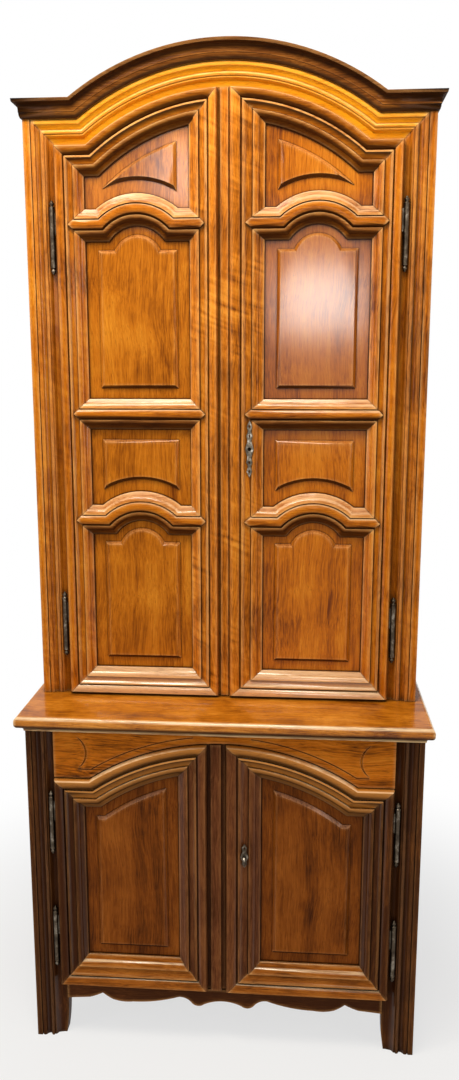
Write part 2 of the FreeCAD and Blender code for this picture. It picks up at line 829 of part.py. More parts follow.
# Locks, bolts and their irons
def round_bar(name, radius, x, z, front, rear):
    made = named("Part::Cylinder", name)
    made.Radius = radius
    made.setExpression("Height", f"({rear}) - ({front})")
    made.Placement = FreeCAD.Placement(Vec(0, 0, 0), FreeCAD.Rotation(Vec(1, 0, 0), -90))
    for axis, rule in (("x", x), ("y", front), ("z", z)):
        made.setExpression(f"Placement.Base.{axis}", rule)
    return made


def joined(name, pieces):
    made = named("Part::MultiFuse", name)
    made.Shapes = pieces
    return made


def carved(name, base, tools):
    made = named("Part::Cut", name)
    made.Base = base
    made.Tool = tools[0] if len(tools) == 1 else joined(f"{name}_hollows", tools)
    return made


CASE_INSET = 3
BOLT_RISE = 16
BOLT_SETBACK = 4
BOLT_INSET = 1
PLAY = 0.5
CHAMBER_RADIUS = 13
CHAMBER_DEPTH = 12
KEEPER_WIDTH = 25
KEEPER_WALL = 9


def lock_rules(door):
    """Expressions for the lock's places, shared by its case, bolt and keeper."""
    rear = f"({door.face_rule} + dims.door_thickness)"
    bolt_low = f"(dims.{door.level}_key_height + {BOLT_RISE})"
    return {
        "rear": rear,
        "end": f"({rear} + dims.case_depth)",
        "left": f"({door.mould_rule} + {CASE_INSET})",
        "bolt_front": f"({rear} + {BOLT_SETBACK})",
        "bolt_rear": f"({rear} + {BOLT_SETBACK} + dims.bolt_thickness)",
        "bolt_low": bolt_low,
        "bolt_high": f"({bolt_low} + dims.bolt_height)",
        "key": f"dims.{door.level}_key_height",
    }


def around_bolt(name, rule, left, right):
    front, rear = f"{rule['bolt_front']} - {PLAY}", f"{rule['bolt_rear']} + {PLAY}"
    low, high = f"{rule['bolt_low']} - {PLAY}", f"{rule['bolt_high']} + {PLAY}"
    return box(name, left, right, front, rear, low, high)


def lock_case(door):
    rule = lock_rules(door)
    name = f"{door.level}_lock_case"
    low, high = f"{rule['key']} - dims.case_height / 2", f"{rule['key']} + dims.case_height / 2"
    right = f"{rule['left']} + dims.case_width"
    shell = box(f"{name}_block", rule["left"], right, rule["rear"], rule["end"], low, high)
    channel = around_bolt(f"{name}_channel", rule, f"{rule['left']} - {PLAY}", f"{right} - {KEEPER_WALL}")
    hollows = [channel]
    if door.level == "lower":
        depth = (rule["rear"], f"{rule['rear']} + {CHAMBER_DEPTH}")
        hollows.append(round_bar(f"{name}_chamber", CHAMBER_RADIUS, "dims.key_side", rule["key"], *depth))
    return carved(name, shell, hollows)


def lock_bolt(door):
    rule = lock_rules(door)
    left = f"{rule['left']} + {BOLT_INSET}"
    ends = (left, f"{left} + dims.bolt_length")
    places = (rule["bolt_front"], rule["bolt_rear"], rule["bolt_low"], rule["bolt_high"])
    return box(f"{door.level}_lock_bolt", *ends, *places)


def keeper(door, lock):
    """The staple behind the left door that the lock's bolt shoots under; lock is the right-hand door."""
    rule = lock_rules(lock)
    name = f"{door.level}_keeper"
    right = f"dims.{door.level}_meeting_line - dims.door_gap"
    left = f"{right} - {KEEPER_WIDTH}"
    low, high = f"{rule['bolt_low']} - {KEEPER_WALL}", f"{rule['bolt_high']} + {KEEPER_WALL}"
    block = box(f"{name}_block", left, right, rule["rear"], rule["end"], low, high)
    depth = (f"{rule['rear']} - {PLAY}", f"{rule['bolt_rear']} + {PLAY}")
    span = (f"{rule['bolt_low']} - {PLAY}", f"{rule['bolt_high']} + {PLAY}")
    mouth = box(f"{name}_mouth", f"{left} - {PLAY}", f"{right} + {PLAY}", *depth, *span)
    return carved(name, block, [mouth])


SLIDE_DROP = 14
SLIDE_SETBACK = 1
GUIDE_WIDTH = 26
GUIDE_DEPTH = 10
GUIDE_HEIGHT = 12
GUIDE_PLACES = (20, 86)
KNOB_PLACE = 75
KNOB_RADIUS = 4
KNOB_LENGTH = 10
KNOB_ROOT = 1


def slide_rules(door):
    """Expressions for the slide bolt behind the left door's meeting stile, near its top."""
    middle = f"(-dims.{door.level}_left_mould_edge - {GUIDE_WIDTH})"
    front = f"({door.face_rule} + dims.door_thickness + {SLIDE_SETBACK})"
    top = door.arch_point(door.mould_edge + GUIDE_WIDTH, 0)[1] - SLIDE_DROP
    return middle, front, top


def slide_bolt(door):
    middle, front, top = slide_rules(door)
    name = f"{door.level}_slide_bolt"
    half = "dims.slide_bolt_width / 2"
    back_face = f"{front} + dims.slide_bolt_thickness"
    low = f"{top} - dims.slide_bolt_length"
    bar = box(f"{name}_bar", f"{middle} - {half}", f"{middle} + {half}", front, back_face, low, str(top))
    depth = (f"{back_face} - {KNOB_ROOT}", f"{back_face} + {KNOB_LENGTH}")
    knob = round_bar(f"{name}_knob", KNOB_RADIUS, middle, f"{top} - {KNOB_PLACE}", *depth)
    return joined(name, [bar, knob])


def door_irons(door, lock):
    middle, front, top = slide_rules(door)
    rear = f"({front} - {SLIDE_SETBACK})"
    half = "dims.slide_bolt_width / 2"
    irons = [keeper(door, lock)]
    for index, drop in enumerate(GUIDE_PLACES):
        name = f"{door.level}_guide_{index}"
        low, high = f"{top} - {drop} - {GUIDE_HEIGHT}", f"{top} - {drop}"
        sides = (f"{middle} - {GUIDE_WIDTH / 2}", f"{middle} + {GUIDE_WIDTH / 2}")
        block = box(f"{name}_block", *sides, rear, f"{rear} + {GUIDE_DEPTH}", low, high)
        inner = (f"{middle} - {half} - {PLAY}", f"{middle} + {half} + {PLAY}")
        depth = (f"{front} - {PLAY}", f"{front} + dims.slide_bolt_thickness + {PLAY}")
        way = box(f"{name}_way", *inner, *depth, f"{low} - {OVERCUT}", f"{high} + {OVERCUT}")
        irons.append(carved(name, block, [way]))
    return group(f"{door.name}_door_irons", irons)


ESCUTCHEONS = {
    "upper": {
        "seat": 4.1,
        "lobes": (10.3, 7.5, 6.5),
        "waists": (4.6, 3.4),
        "above": (20, 32, 42, 54, 69),
        "foot": 1,
    },
    "lower": {"seat": 6, "lobes": (10, 6.5), "waists": (4.5,), "above": (14, 24, 35), "foot": 0.78},
}
PLATE_THICKNESS = 1.8
PIERCING = 2.4


def lobed_edge(lobes, waists, marks, reach):
    """Half of a plate's outline from the keyhole's level to a tip: round lobes with waists between."""
    widths = [lobes[0]]
    for waist, lobe in zip(waists, lobes[1:]):
        widths += [waist, lobe]
    widths.append(0)
    levels = [0] + [mark * reach for mark in marks[: len(widths) - 1]]
    return list(zip(widths, levels))


def escutcheon(door):
    spec = ESCUTCHEONS[door.level]
    body = named("PartDesign::Body", f"{door.level}_escutcheon")
    x, z = size("key_side"), size(f"{door.level}_key_height")
    up = lobed_edge(spec["lobes"], spec["waists"], spec["above"], 1)
    down = lobed_edge(spec["lobes"], spec["waists"], spec["above"], -spec["foot"])
    half = list(reversed(up)) + down[1:]
    ring = half + [(-width, level) for width, level in reversed(half[1:-1])]
    loop = polygon([(x + width, z + level) for width, level in ring])
    holes = [[("circle", (x, z), (size("keyway_half"), 0))]]
    for _, level in up[2:-1:2] + down[2:-1:2]:
        tips = [(PIERCING, 0), (0, 2 * PIERCING), (-PIERCING, 0), (0, -2 * PIERCING)]
        holes.append(polygon([(x + across, z + level + rise) for across, rise in tips]))
    seat = f"-({door.face_rule} - {spec['seat']})"
    grow(body, "plate", sketch(body, "outline", "XZ_Plane", [loop] + holes, seat), f"{PLATE_THICKNESS}")
    return body


KEY = {
    "shank": 3,
    "bow": 10,
    "bow_eye": 6.5,
    "bow_place": 22,
    "bit_half": 1.5,
    "bit_end": 11,
    "bit": (33, 40),
    "overlap": 1,
}


def key_disc(name, radius, door):
    """An upright disc across the key's bow, centred on its shank."""
    made = named("Part::Cylinder", name)
    made.Radius = radius
    made.Height = 2 * KEY["bit_half"]
    made.Placement = FreeCAD.Placement(Vec(0, 0, 0), FreeCAD.Rotation(Vec(0, 1, 0), 90))
    made.setExpression("Placement.Base.x", f"dims.key_side - {KEY['bit_half']}")
    made.setExpression("Placement.Base.y", f"{door.face_rule} - {KEY['bow_place']}")
    made.setExpression("Placement.Base.z", f"dims.{door.level}_key_height")
    return made


def door_key(door):
    face = door.face_rule
    level = f"dims.{door.level}_key_height"
    shank_front = f"{face} - {KEY['bow_place'] - KEY['bow_eye'] - KEY['overlap']}"
    shank_rear = f"{face} + {KEY['bit'][1] + KEY['overlap']}"
    shank = round_bar("key_shank", KEY["shank"], "dims.key_side", level, shank_front, shank_rear)
    disc = key_disc("key_bow_disc", KEY["bow"], door)
    bow = carved("key_bow", disc, [key_disc("key_bow_eye", KEY["bow_eye"], door)])
    sides = (f"dims.key_side - {KEY['bit_half']}", f"dims.key_side + {KEY['bit_half']}")
    depth = [f"{face} + {place}" for place in KEY["bit"]]
    bit = box("key_bit", *sides, *depth, f"{level} - {KEY['bit_end']}", f"{level} - {KEY['overlap']}")
    return joined(f"{door.level}_key", [shank, bow, bit])


# Carcass
FOOT_SETBACK = 16
FOOT_THICKNESS = 30
FOOT_EASE = 7
FOOT_BULGE = 1


def front_post(level, hand):
    upper = level == "upper"
    side = SIDES[hand]
    width = size(f"{level}_post_width")
    outer = upper_side if upper else lower_side
    inner = outer - width
    face = upper_face if upper else lower_face
    body = named("PartDesign::Body", f"{level}_{hand}_front_post")
    depth = size("post_depth")
    section = post_front(width) + [(width, -depth), (0, -depth)]
    base = WAIST_LEVEL if upper else "0"
    profile = sketch(body, "section", "XY_Plane", [plan(section, outer, face, side, -1)], base)
    grow(body, "length", profile, f"{HEAD_TOP} - {WAIST_LEVEL}" if upper else "dims.lower_height")
    if upper:
        top = head_bottom + size("head_width")
        past, clear = top + OVERCUT, inner - OVERCUT
        waste = [(inner, head_bottom), (outer, top), (outer, past), (clear, past), (clear, head_bottom)]
        cut(body, "mitre", sketch(body, "mitre_line", "XZ_Plane", sided([polygon(waste)], side)))
    else:
        edge = outer - size("foot_width")
        high, toe = size("foot_height"), (edge + FOOT_EASE, 0)
        curve = ("arc", toe, (edge + FOOT_BULGE, high / 2), (edge, high))
        ring = [(edge, high), (edge, size("apron_top")), (inner, size("apron_top")), (inner, 0)]
        foot = [curve] + [line(a, b) for a, b in zip(ring, ring[1:] + [toe])]
        rear = f"-({LOWER_FACE} + {FOOT_SETBACK + FOOT_THICKNESS})"
        profile = sketch(body, "foot_outline", "XZ_Plane", sided([foot], side), rear)
        grow(body, "foot", profile, f"{FOOT_THICKNESS}")
    axis, half = side * (inner - size("post_gap") + size("hinge_offset")), size("leaf_thickness") / 2
    rear = face + size("hinge_setback") + size("hinge_offset") + size("leaf_depth")
    tops = [mark - LEAF_GAP for mark in HINGE_LEVELS[level]]
    leaf_slots(body, rectangle(axis - half, axis + half, face, rear), tops)
    return body


def paired(name, make):
    """A node of matching pieces, one set for each side."""
    return group(name, [piece for hand, side in SIDES.items() for piece in make(hand, side)])


def across(side, inner, outer):
    """The left and right limits, as expressions, of a piece between two distances from the middle."""
    return (inner, outer) if side > 0 else (f"-({outer})", f"-({inner})")


REAR_POST_RISE = 74
REAR_POST_TOP = f"({HEAD_BOTTOM} + {REAR_POST_RISE})"
SIDE_RAILS = {
    "lower": ((110, 190), (770, 850)),
    "upper": ((880, 980), (1540, 1620), (2170, 2300)),
}
SIDE_FRONT = {"lower": f"{LOWER_FACE} + dims.post_depth", "upper": f"{UPPER_FACE} + dims.post_depth"}
SIDE_REAR = f"{BACK} - dims.rear_post_size"


def rear_posts(level):
    outer = f"dims.{level}_width / 2"
    low, high = ("0", "dims.lower_height") if level == "lower" else (WAIST_LEVEL, REAR_POST_TOP)

    def make(hand, side):
        limits = across(side, f"{outer} - dims.rear_post_size", outer)
        return [box(f"{level}_{hand}_rear_post", *limits, SIDE_REAR, BACK, low, high)]

    return paired(f"{level}_rear_posts", make)


def side_rails(level):
    outer = f"dims.{level}_width / 2"

    def make(hand, side):
        limits = across(side, f"{outer} - dims.side_thickness", outer)
        places = (SIDE_FRONT[level], SIDE_REAR)
        return [
            box(f"{level}_{hand}_side_rail_{index}", *limits, *places, str(low), str(high))
            for index, (low, high) in enumerate(SIDE_RAILS[level])
        ]

    return paired(f"{level}_side_rails", make)


SIDE_PANEL_INSET = 18
SIDE_FIELD_MARGIN = 34


def side_panel(name, side, level, low, high):
    """A board let in between side rails, with a bevelled field raised outwards."""
    body = named("PartDesign::Body", name)
    face = upper_face if level == "upper" else lower_face
    front, rear = face + size("post_depth"), back - size("rear_post_size")
    seat = f"{side} * (dims.{level}_width / 2 - {SIDE_PANEL_INSET})"
    proud_rule = "dims.panel_thickness + dims.field_rise"
    steps = (("board", 0, "dims.panel_thickness"), ("field", SIDE_FIELD_MARGIN, proud_rule))
    for key, margin, length in steps:
        left, right = front + margin, rear - margin
        base, top = low + margin, high - margin
        corners = [(left, base), (right, base), (right, top), (left, top)]
        profile = sketch(body, f"{key}_outline", "YZ_Plane", [polygon(corners)], seat)
        raised = grow(body, key, profile, length)
        raised.Reversed = side < 0
    doc.recompute()
    proud = size(f"{level}_width") / 2 - SIDE_PANEL_INSET + size("panel_thickness") + size("field_rise")
    on_field = [
        f"Edge{index}"
        for index, edge in enumerate(raised.Shape.Edges, start=1)
        if all(abs(abs(vertex.X) - proud) < SAME_PLACE for vertex in edge.Vertexes)
    ]
    bevel = body.newObject("PartDesign::Chamfer", f"{name}_bevel")
    bevel.Base = (raised, on_field)
    bevel.setExpression("Size", "dims.field_bevel")
    return body


def side_panels(level):
    rails = SIDE_RAILS[level]
    gaps = [(below[1], above[0]) for below, above in zip(rails, rails[1:])]

    def make(hand, side):
        return [
            side_panel(f"{level}_{hand}_side_panel_{index}", side, level, low, high)
            for index, (low, high) in enumerate(gaps)
        ]

    return paired(f"{level}_side_panels", make)


GROOVE = 3
BACK_SETBACK = 10
BACK_BOARDS = 5
BACK_LIFT = 6
LOWER_BACK_BASE = 110


def back_boards(level, base, top):
    """The back, of upright boards whose joints show as V grooves."""
    body = named("PartDesign::Body", f"{level}_back")
    half = size(f"{level}_width") / 2 - size("rear_post_size")
    rear = back - BACK_SETBACK
    front = rear - size("back_thickness")
    edge = [(half, rear)]
    for index in range(1, BACK_BOARDS):
        x = half - 2 * half * index / BACK_BOARDS
        edge += [(x + GROOVE, rear), (x, rear - GROOVE), (x - GROOVE, rear)]
    corners = edge + [(-half, rear), (-half, front), (half, front)]
    grow(body, "boards", sketch(body, "plan", "XY_Plane", [polygon(corners)], base), f"({top}) - ({base})")
    return body


ROOF_LOW = 75
ROOF_HIGH = 89


def arch_over(half, rise):
    """The head's arch raised by some millimetres, from the right-hand end to the left-hand end."""
    return hat_edge(half, -half, head_bottom + rise, (0, size("upper_arch_centre")), head_radius + rise)


def upper_back():
    crest = f"dims.upper_arch_centre + dims.upper_arch_radius + {ROOF_HIGH}"
    body = back_boards("upper", f"{WAIST_LEVEL} + {BACK_LIFT}", crest)
    half = upper_side
    level = head_bottom + ROOF_LOW
    top = size("upper_arch_centre") + head_radius + ROOF_HIGH
    ring = [(-half, level), (-half, top), (half, top), (half, level)]
    above = arch_over(half, ROOF_LOW) + [line(a, b) for a, b in zip(ring, ring[1:])]
    cut(body, "arch", sketch(body, "arch_outline", "XZ_Plane", [above]))
    return body


def upper_roof():
    body = named("PartDesign::Body", "upper_roof")
    half = upper_side - size("side_thickness")
    under, over = arch_over(half, ROOF_LOW), arch_over(half, ROOF_HIGH)
    ends = [(under[0][1], over[0][1]), (under[-1][-1], over[-1][-1])]
    loop = under + over + [line(a, b) for a, b in ends]
    profile = sketch(body, "outline", "XZ_Plane", [loop], f"-{BACK}")
    grow(body, "depth", profile, f"{BACK} - {UPPER_FACE} - dims.head_depth")
    return body


def notched_board(name, level, front_gap, top):
    """A floor or shelf that fits round the posts; front_gap is its set-back from the face."""
    upper = level == "upper"
    face = upper_face if upper else lower_face
    half = size(f"{level}_width") / 2
    wide, between = half - size("side_thickness"), half - size(f"{level}_post_width")
    narrow = half - size("rear_post_size")
    post_rear = face + size("post_depth")
    rear_front = back - size("rear_post_size")
    rear = back - BACK_SETBACK - size("back_thickness")
    corners = []
    if front_gap < size("post_depth"):
        corners += [(between, face + front_gap), (between, post_rear)]
    corners += [(wide, post_rear), (wide, rear_front), (narrow, rear_front), (narrow, rear)]
    ring = corners + [(-x, y) for x, y in reversed(corners)]
    body = named("PartDesign::Body", name)
    base = f"{top} - dims.board_thickness"
    grow(body, "board", sketch(body, "plan", "XY_Plane", [polygon(ring)], base), "dims.board_thickness")
    return body


FLOOR_GAP = 32
SHELF_COUNT = 3


def upper_shelves():
    tops = [f"dims.upper_first_shelf + {index} * dims.upper_shelf_step" for index in range(SHELF_COUNT)]
    gap = size("post_depth")
    boards = [notched_board(f"upper_shelf_{index}", "upper", gap, top) for index, top in enumerate(tops)]
    return group("upper_shelves", boards)


# Head rails, cornice, apron and waist
def upper_head_rail():
    width, crown = size("head_width"), size("head_width") + size("crown_height")
    depth = size("head_depth")
    front = [(width - place, height) for place, height in post_front(width)]
    section = [(crown, 0)] + front + [(0, -depth), (width, -depth), (crown, -depth)]

    def path(rise, height):
        return arch_over(min(upper_side - width + rise, upper_side), rise)

    return feature("upper_head_rail", moulding(section, path, on_front(upper_face, 1), split=width))


COVE_STEPS = 4
CROWN_LIP = 7
BED_STEPS = 3
BED_REACH = 9
BED_FILLET = 4


def crown_section():
    """From the head rail's beads up: a quarter-round bed mould, a fillet, a cove and the lip."""
    base, top = size("head_width"), size("head_width") + size("crown_height")
    reach, foot = size("crown_front"), base - post_flat(base)
    lip, step, shelf = 4, 2, BED_REACH + 1
    high, out = base - BED_FILLET - foot, BED_REACH - step
    bed = [(foot + high * (1 - math.cos(t)), step + out * math.sin(t)) for t in quarter_turns(BED_STEPS)]
    rise, run = size("crown_height") - step - CROWN_LIP, reach - shelf - lip - step
    turns = quarter_turns(COVE_STEPS)
    cove = [(base + step + rise * math.sin(turn), shelf + run * (1 - math.cos(turn))) for turn in turns]
    rim = [(cove[-1][0], reach - step), (top, reach), (top, 0)]
    return [(foot, 0)] + bed + [(bed[-1][0], shelf)] + cove + rim


def cornice():
    share = size("crown_side") / size("crown_front")

    def path(rise, height):
        return arch_over(upper_side + height * share, rise)

    pieces = [feature("cornice_front", moulding(crown_section(), path, on_front(upper_face, 1)))]
    for hand, side in SIDES.items():

        def run_back(rise, height):
            out = upper_side + height * share
            return [line((out, upper_face - height), (out, back))]

        def place(point, spot, side=side):
            return Vec(side * point[0], point[1], head_bottom + spot[0])

        pieces.append(feature(f"cornice_{hand}", moulding(crown_section(), run_back, place)))
    return group("cornice", pieces)


HEAD_RAIL_SETBACK = 4
HEAD_RAIL_THICKNESS = 24
# Shallow carved lines beside the arch: a crescent that tapers to points, and a level run with a long bow
CARVED_DEPTH = 1.5
CARVED_WIDTH = 2.5
CRESCENT_TIPS = ((355, 820), (352, 741))
CRESCENT_MIDDLES = ((330, 779), (334.5, 779))
CARVED_LEVEL = 736
CARVED_RADIUS = 596
CARVED_ENDS = (352, 70)


def lower_head_rail():
    body = named("PartDesign::Body", "lower_head_rail")
    half = lower_side - size("lower_post_width")
    level = size("lower_shoulder") + size("door_gap")
    radius = size("lower_arch_radius") + size("door_gap")
    top = size("lower_height")
    under = hat_edge(half, -half, level, (0, size("lower_arch_centre")), radius)
    ring = [(-half, level), (-half, top), (half, top), (half, level)]
    loop = under + [line(a, b) for a, b in zip(ring, ring[1:])]
    rear = f"-({LOWER_FACE} + {HEAD_RAIL_SETBACK + HEAD_RAIL_THICKNESS})"
    grow(body, "board", sketch(body, "outline", "XZ_Plane", [loop], rear), f"{HEAD_RAIL_THICKNESS}")
    start, end = CRESCENT_TIPS
    crescent = [("arc", start, middle, end) for middle in CRESCENT_MIDDLES]
    centre = (0, size("lower_arch_centre"))
    edges = []
    for spread in (CARVED_WIDTH, 0):
        edges.append(arch_edge(*CARVED_ENDS, CARVED_LEVEL + spread, centre, CARVED_RADIUS + spread))
    lines = [crescent, closed_outline(*edges)]
    loops = [loop for side in SIDES.values() for loop in sided(lines, side)]
    front = f"-({LOWER_FACE} + {HEAD_RAIL_SETBACK})"
    cut(body, "carving", sketch(body, "carved_lines", "XZ_Plane", loops, front), f"{CARVED_DEPTH}")
    return body


# The apron's scalloped lower edge, from its end to the middle: two cusps and a central lobe
APRON_END = (400, 106)
APRON_ARCS = (
    ((342, 111), (325, 117), (308, 125)),
    ((308, 125), (296, 116), (282, 108)),
    ((282, 108), (258, 103), (230, 104)),
    ((230, 104), (165, 110), (112, 124)),
    ((112, 124), (92, 120), (80, 110)),
    ((80, 110), (64, 101), (48, 106)),
)
APRON_CREST = (0, 117.5)
APRON_SETBACK = 8
APRON_THICKNESS = 22


def lower_apron():
    body = named("PartDesign::Body", "lower_apron")
    half = [line(APRON_END, APRON_ARCS[0][0])] + [("arc", *points) for points in APRON_ARCS]
    mirrored = [(segment[0], *[(-x, z) for x, z in reversed(segment[1:])]) for segment in reversed(half)]
    last = APRON_ARCS[-1][-1]
    middle = [("arc", last, APRON_CREST, (-last[0], last[1]))]
    top = size("apron_top")
    ring = [(-APRON_END[0], APRON_END[1]), (-APRON_END[0], top), (APRON_END[0], top), APRON_END]
    loop = half + middle + mirrored + [line(a, b) for a, b in zip(ring, ring[1:])]
    rear = f"-({LOWER_FACE} + {APRON_SETBACK + APRON_THICKNESS})"
    grow(body, "board", sketch(body, "outline", "XZ_Plane", [loop], rear), f"{APRON_THICKNESS}")
    return body


PEG_CLEARANCE = 0.4
PEG_HOLE_DEPTH = 16
NOSING = 12
PEG_SIDE = 430
PEG_SETBACK = 30


def peg_places():
    return [(side * PEG_SIDE, upper_face + PEG_SETBACK) for side in SIDES.values()]


def waist_board():
    body = named("PartDesign::Body", "waist_board")
    half = size("waist_width") / 2
    corners = [(-half, -back), (half, -back), (half, back), (-half, back)]
    profile = sketch(body, "plan", "XY_Plane", [polygon(corners)], "dims.lower_height")
    grow(body, "board", profile, "dims.waist_thickness")
    radius = size("peg_radius") + PEG_CLEARANCE
    holes = [[("circle", place, (radius, 0))] for place in peg_places()]
    pegs = sketch(body, "pegs", "XY_Plane", holes, WAIST_LEVEL)
    drilled = cut(body, "peg_holes", pegs, f"{PEG_HOLE_DEPTH}")
    doc.recompute()
    nosed = []
    for index, edge in enumerate(drilled.Shape.Edges, start=1):
        middle = edge.CenterOfMass
        level = abs(edge.Vertexes[0].Z - edge.Vertexes[-1].Z) < SAME_PLACE
        at_front = abs(middle.y + back) < SAME_PLACE
        at_side = abs(abs(middle.x) - half) < SAME_PLACE
        if level and (at_front or at_side):
            nosed.append(f"Edge{index}")
    nosing = body.newObject("PartDesign::Fillet", "waist_board_nosing")
    nosing.Base = (drilled, nosed)
    nosing.Radius = NOSING
    return body


WAIST_BED_HEIGHT = 14
WAIST_BED_REACH = 14
BEAD_PROUD = 2.5


def waist_top():
    """The board between the two cabinets, with the hollow bed moulding mitred round under it."""
    turns = quarter_turns(COVE_STEPS)
    lip = 2
    run, rise = WAIST_BED_REACH - lip, WAIST_BED_HEIGHT - 2 * lip
    low = lip - WAIST_BED_HEIGHT
    cove = [(lip + run * (1 - math.cos(turn)), low + rise * math.sin(turn)) for turn in turns]
    foot = [(0, 0), (0, -WAIST_BED_HEIGHT), (lip, -WAIST_BED_HEIGHT)]
    section = foot + cove + [(WAIST_BED_REACH, 0)]

    def path(out, height):
        x, y = lower_side + out, lower_face - BEAD_PROUD - out
        corners = [(-x, back), (-x, y), (x, y), (x, back)]
        return [line(a, b) for a, b in zip(corners, corners[1:])]

    def place(point, spot):
        return Vec(point[0], point[1], size("lower_height") + spot[1])

    return group("waist_top", [waist_board(), feature("bed_moulding", moulding(section, path, place))])


def locating_pegs():
    pegs = []
    for index, (x, y) in enumerate(peg_places()):
        peg = named("Part::Cylinder", f"locating_peg_{index}")
        peg.setExpression("Radius", "dims.peg_radius")
        peg.setExpression("Height", "dims.peg_length")
        peg.Placement.Base = Vec(x, y, 0)
        peg.setExpression("Placement.Base.z", f"{WAIST_LEVEL} - dims.peg_length")
        pegs.append(peg)
    return group("locating_pegs", pegs)


# Assembly: every entry is one node
def door_nodes(door):
    rails = [top_rail(door), bottom_rail(door)]
    panel = lower_panel(door) if door.level == "lower" else upper_panels(door)
    if door.level == "upper":
        rails.append(straight_rail(door))
        rails += [hat_rail(door, key, size(f"hat_rail_{key}")) for key in ("high", "low")]
    frame = [hinge_stile(door), meeting_stile(door), group(f"{door.name}_rails", rails)]
    return frame + [panel, door_hinges(door)]


nodes = []
for level in ("lower", "upper"):
    left, right = Door(level, "left"), Door(level, "right")
    nodes += [front_post(level, hand) for hand in SIDES]
    nodes += [rear_posts(level), side_rails(level), side_panels(level)]
    nodes += door_nodes(left) + door_nodes(right)
    nodes += [door_irons(left, right), slide_bolt(left)]
    nodes += [escutcheon(right), lock_case(right), lock_bolt(right)]
    halves = [hinge_half(door, index, "post") for door in (left, right) for index in (0, 1)]
    nodes.append(group(f"{level}_post_hinges", halves))

nodes += [lower_head_rail(), lower_apron(), waist_top()]
nodes.append(back_boards("lower", str(LOWER_BACK_BASE), "dims.lower_height"))
nodes.append(notched_board("lower_floor", "lower", FLOOR_GAP, "dims.lower_floor_level"))
nodes.append(notched_board("lower_shelf", "lower", size("post_depth"), "dims.lower_shelf_level"))
nodes.append(door_key(Door("lower", "right")))
nodes += [upper_head_rail(), cornice(), upper_back(), upper_roof(), upper_shelves(), locating_pegs()]
nodes.append(notched_board("upper_floor", "upper", FLOOR_GAP, "dims.upper_floor_level"))

doc.recompute()
for made in doc.Objects:
    if "Invalid" in made.State or "Error" in made.State:
        raise ValueError(f"{made.Name} did not build: {made.State}")
os.makedirs("parts", exist_ok=True)
for node in nodes:
    if node.Shape.isNull() or not node.Shape.isValid():
        raise ValueError(f"{node.Label} has no valid shape")
    node.Shape.exportStep(f"parts/{node.Label}.step")
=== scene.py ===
import math

import bpy
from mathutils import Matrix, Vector


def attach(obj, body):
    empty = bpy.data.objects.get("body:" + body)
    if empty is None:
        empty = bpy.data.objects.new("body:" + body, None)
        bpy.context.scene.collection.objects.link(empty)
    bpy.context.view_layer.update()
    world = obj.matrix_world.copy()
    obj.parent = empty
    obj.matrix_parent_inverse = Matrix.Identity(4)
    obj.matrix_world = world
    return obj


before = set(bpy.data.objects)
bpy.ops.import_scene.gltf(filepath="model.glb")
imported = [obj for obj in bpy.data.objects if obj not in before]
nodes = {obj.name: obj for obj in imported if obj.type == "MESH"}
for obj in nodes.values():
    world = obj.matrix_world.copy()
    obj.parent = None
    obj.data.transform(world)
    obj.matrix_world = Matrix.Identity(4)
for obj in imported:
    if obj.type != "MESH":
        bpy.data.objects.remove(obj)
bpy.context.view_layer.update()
print("frame loaded with", len(nodes), "nodes")


class Wire:
    # one socket of a material's node tree; sums written on it add Math nodes
    def __init__(self, tree, socket=None):
        self.tree = tree
        self.socket = socket

    def add(self, kind, settings=None, sockets=None, out=0):
        made = self.tree.nodes.new(kind)
        for key, value in (settings or {}).items():
            if key == "stops":
                setStops(made.color_ramp, value)
            else:
                setattr(made, key, value)
        for key, value in (sockets or {}).items():
            if isinstance(value, Wire):
                self.tree.links.new(value.socket, made.inputs[key])
            else:
                made.inputs[key].default_value = value
        return Wire(self.tree, made.outputs[out] if made.outputs else None)

    def beside(self, out):
        return Wire(self.tree, self.socket.node.outputs[out])

    def maths(self, operation, first, second):
        return self.add("ShaderNodeMath", {"operation": operation}, {0: first, 1: second})

    def __add__(self, other):
        return self.maths("ADD", self, other)

    def __radd__(self, other):
        return self.maths("ADD", other, self)

    def __sub__(self, other):
        return self.maths("SUBTRACT", self, other)

    def __rsub__(self, other):
        return self.maths("SUBTRACT", other, self)

    def __mul__(self, other):
        return self.maths("MULTIPLY", self, other)


def setStops(ramp, stops):
    # two stops are there already, the rest are added
    while len(ramp.elements) < len(stops):
        ramp.elements.new(1)
    for element, (place, colour) in zip(ramp.elements, stops):
        element.position = place
        element.color = (*colour, 1)


def newFinish(name):
    finish = bpy.data.materials.new(name)
    finish.use_nodes = True
    finish.node_tree.nodes.clear()
    return finish, Wire(finish.node_tree)


def noise(wire, place, scale, detail, roughness=0.55):
    sockets = {"Vector": place, "Scale": scale, "Detail": detail, "Roughness": roughness}
    return wire.add("ShaderNodeTexNoise", None, sockets)


def between(wire, value, low, high, start=0, end=1):
    # a mask that starts at low and is full at high, which may be the lesser value
    settings = {"interpolation_type": "SMOOTHSTEP"}
    return wire.add("ShaderNodeMapRange", settings, {0: value, 1: low, 2: high, 3: start, 4: end})


def mixed(wire, mask, first, second):
    sockets = {0: mask}
    for slot, colour in ((6, first), (7, second)):
        sockets[slot] = colour if isinstance(colour, Wire) else (*colour, 1)
    return wire.add("ShaderNodeMix", {"data_type": "RGBA"}, sockets, out=2)


def scaled(wire, place, factors):
    return wire.add("ShaderNodeVectorMath", {"operation": "MULTIPLY"}, {0: place, 1: factors})


def hollows(wire, reach, samples=4, inside=False):
    # 1 in the open, falling to 0 deep in a quirk; inside out it falls along sharp edges
    settings = {"samples": samples, "inside": inside}
    return wire.add("ShaderNodeAmbientOcclusion", settings, {"Distance": reach}, out="AO")


# noises waver about this value
middle = 0.5

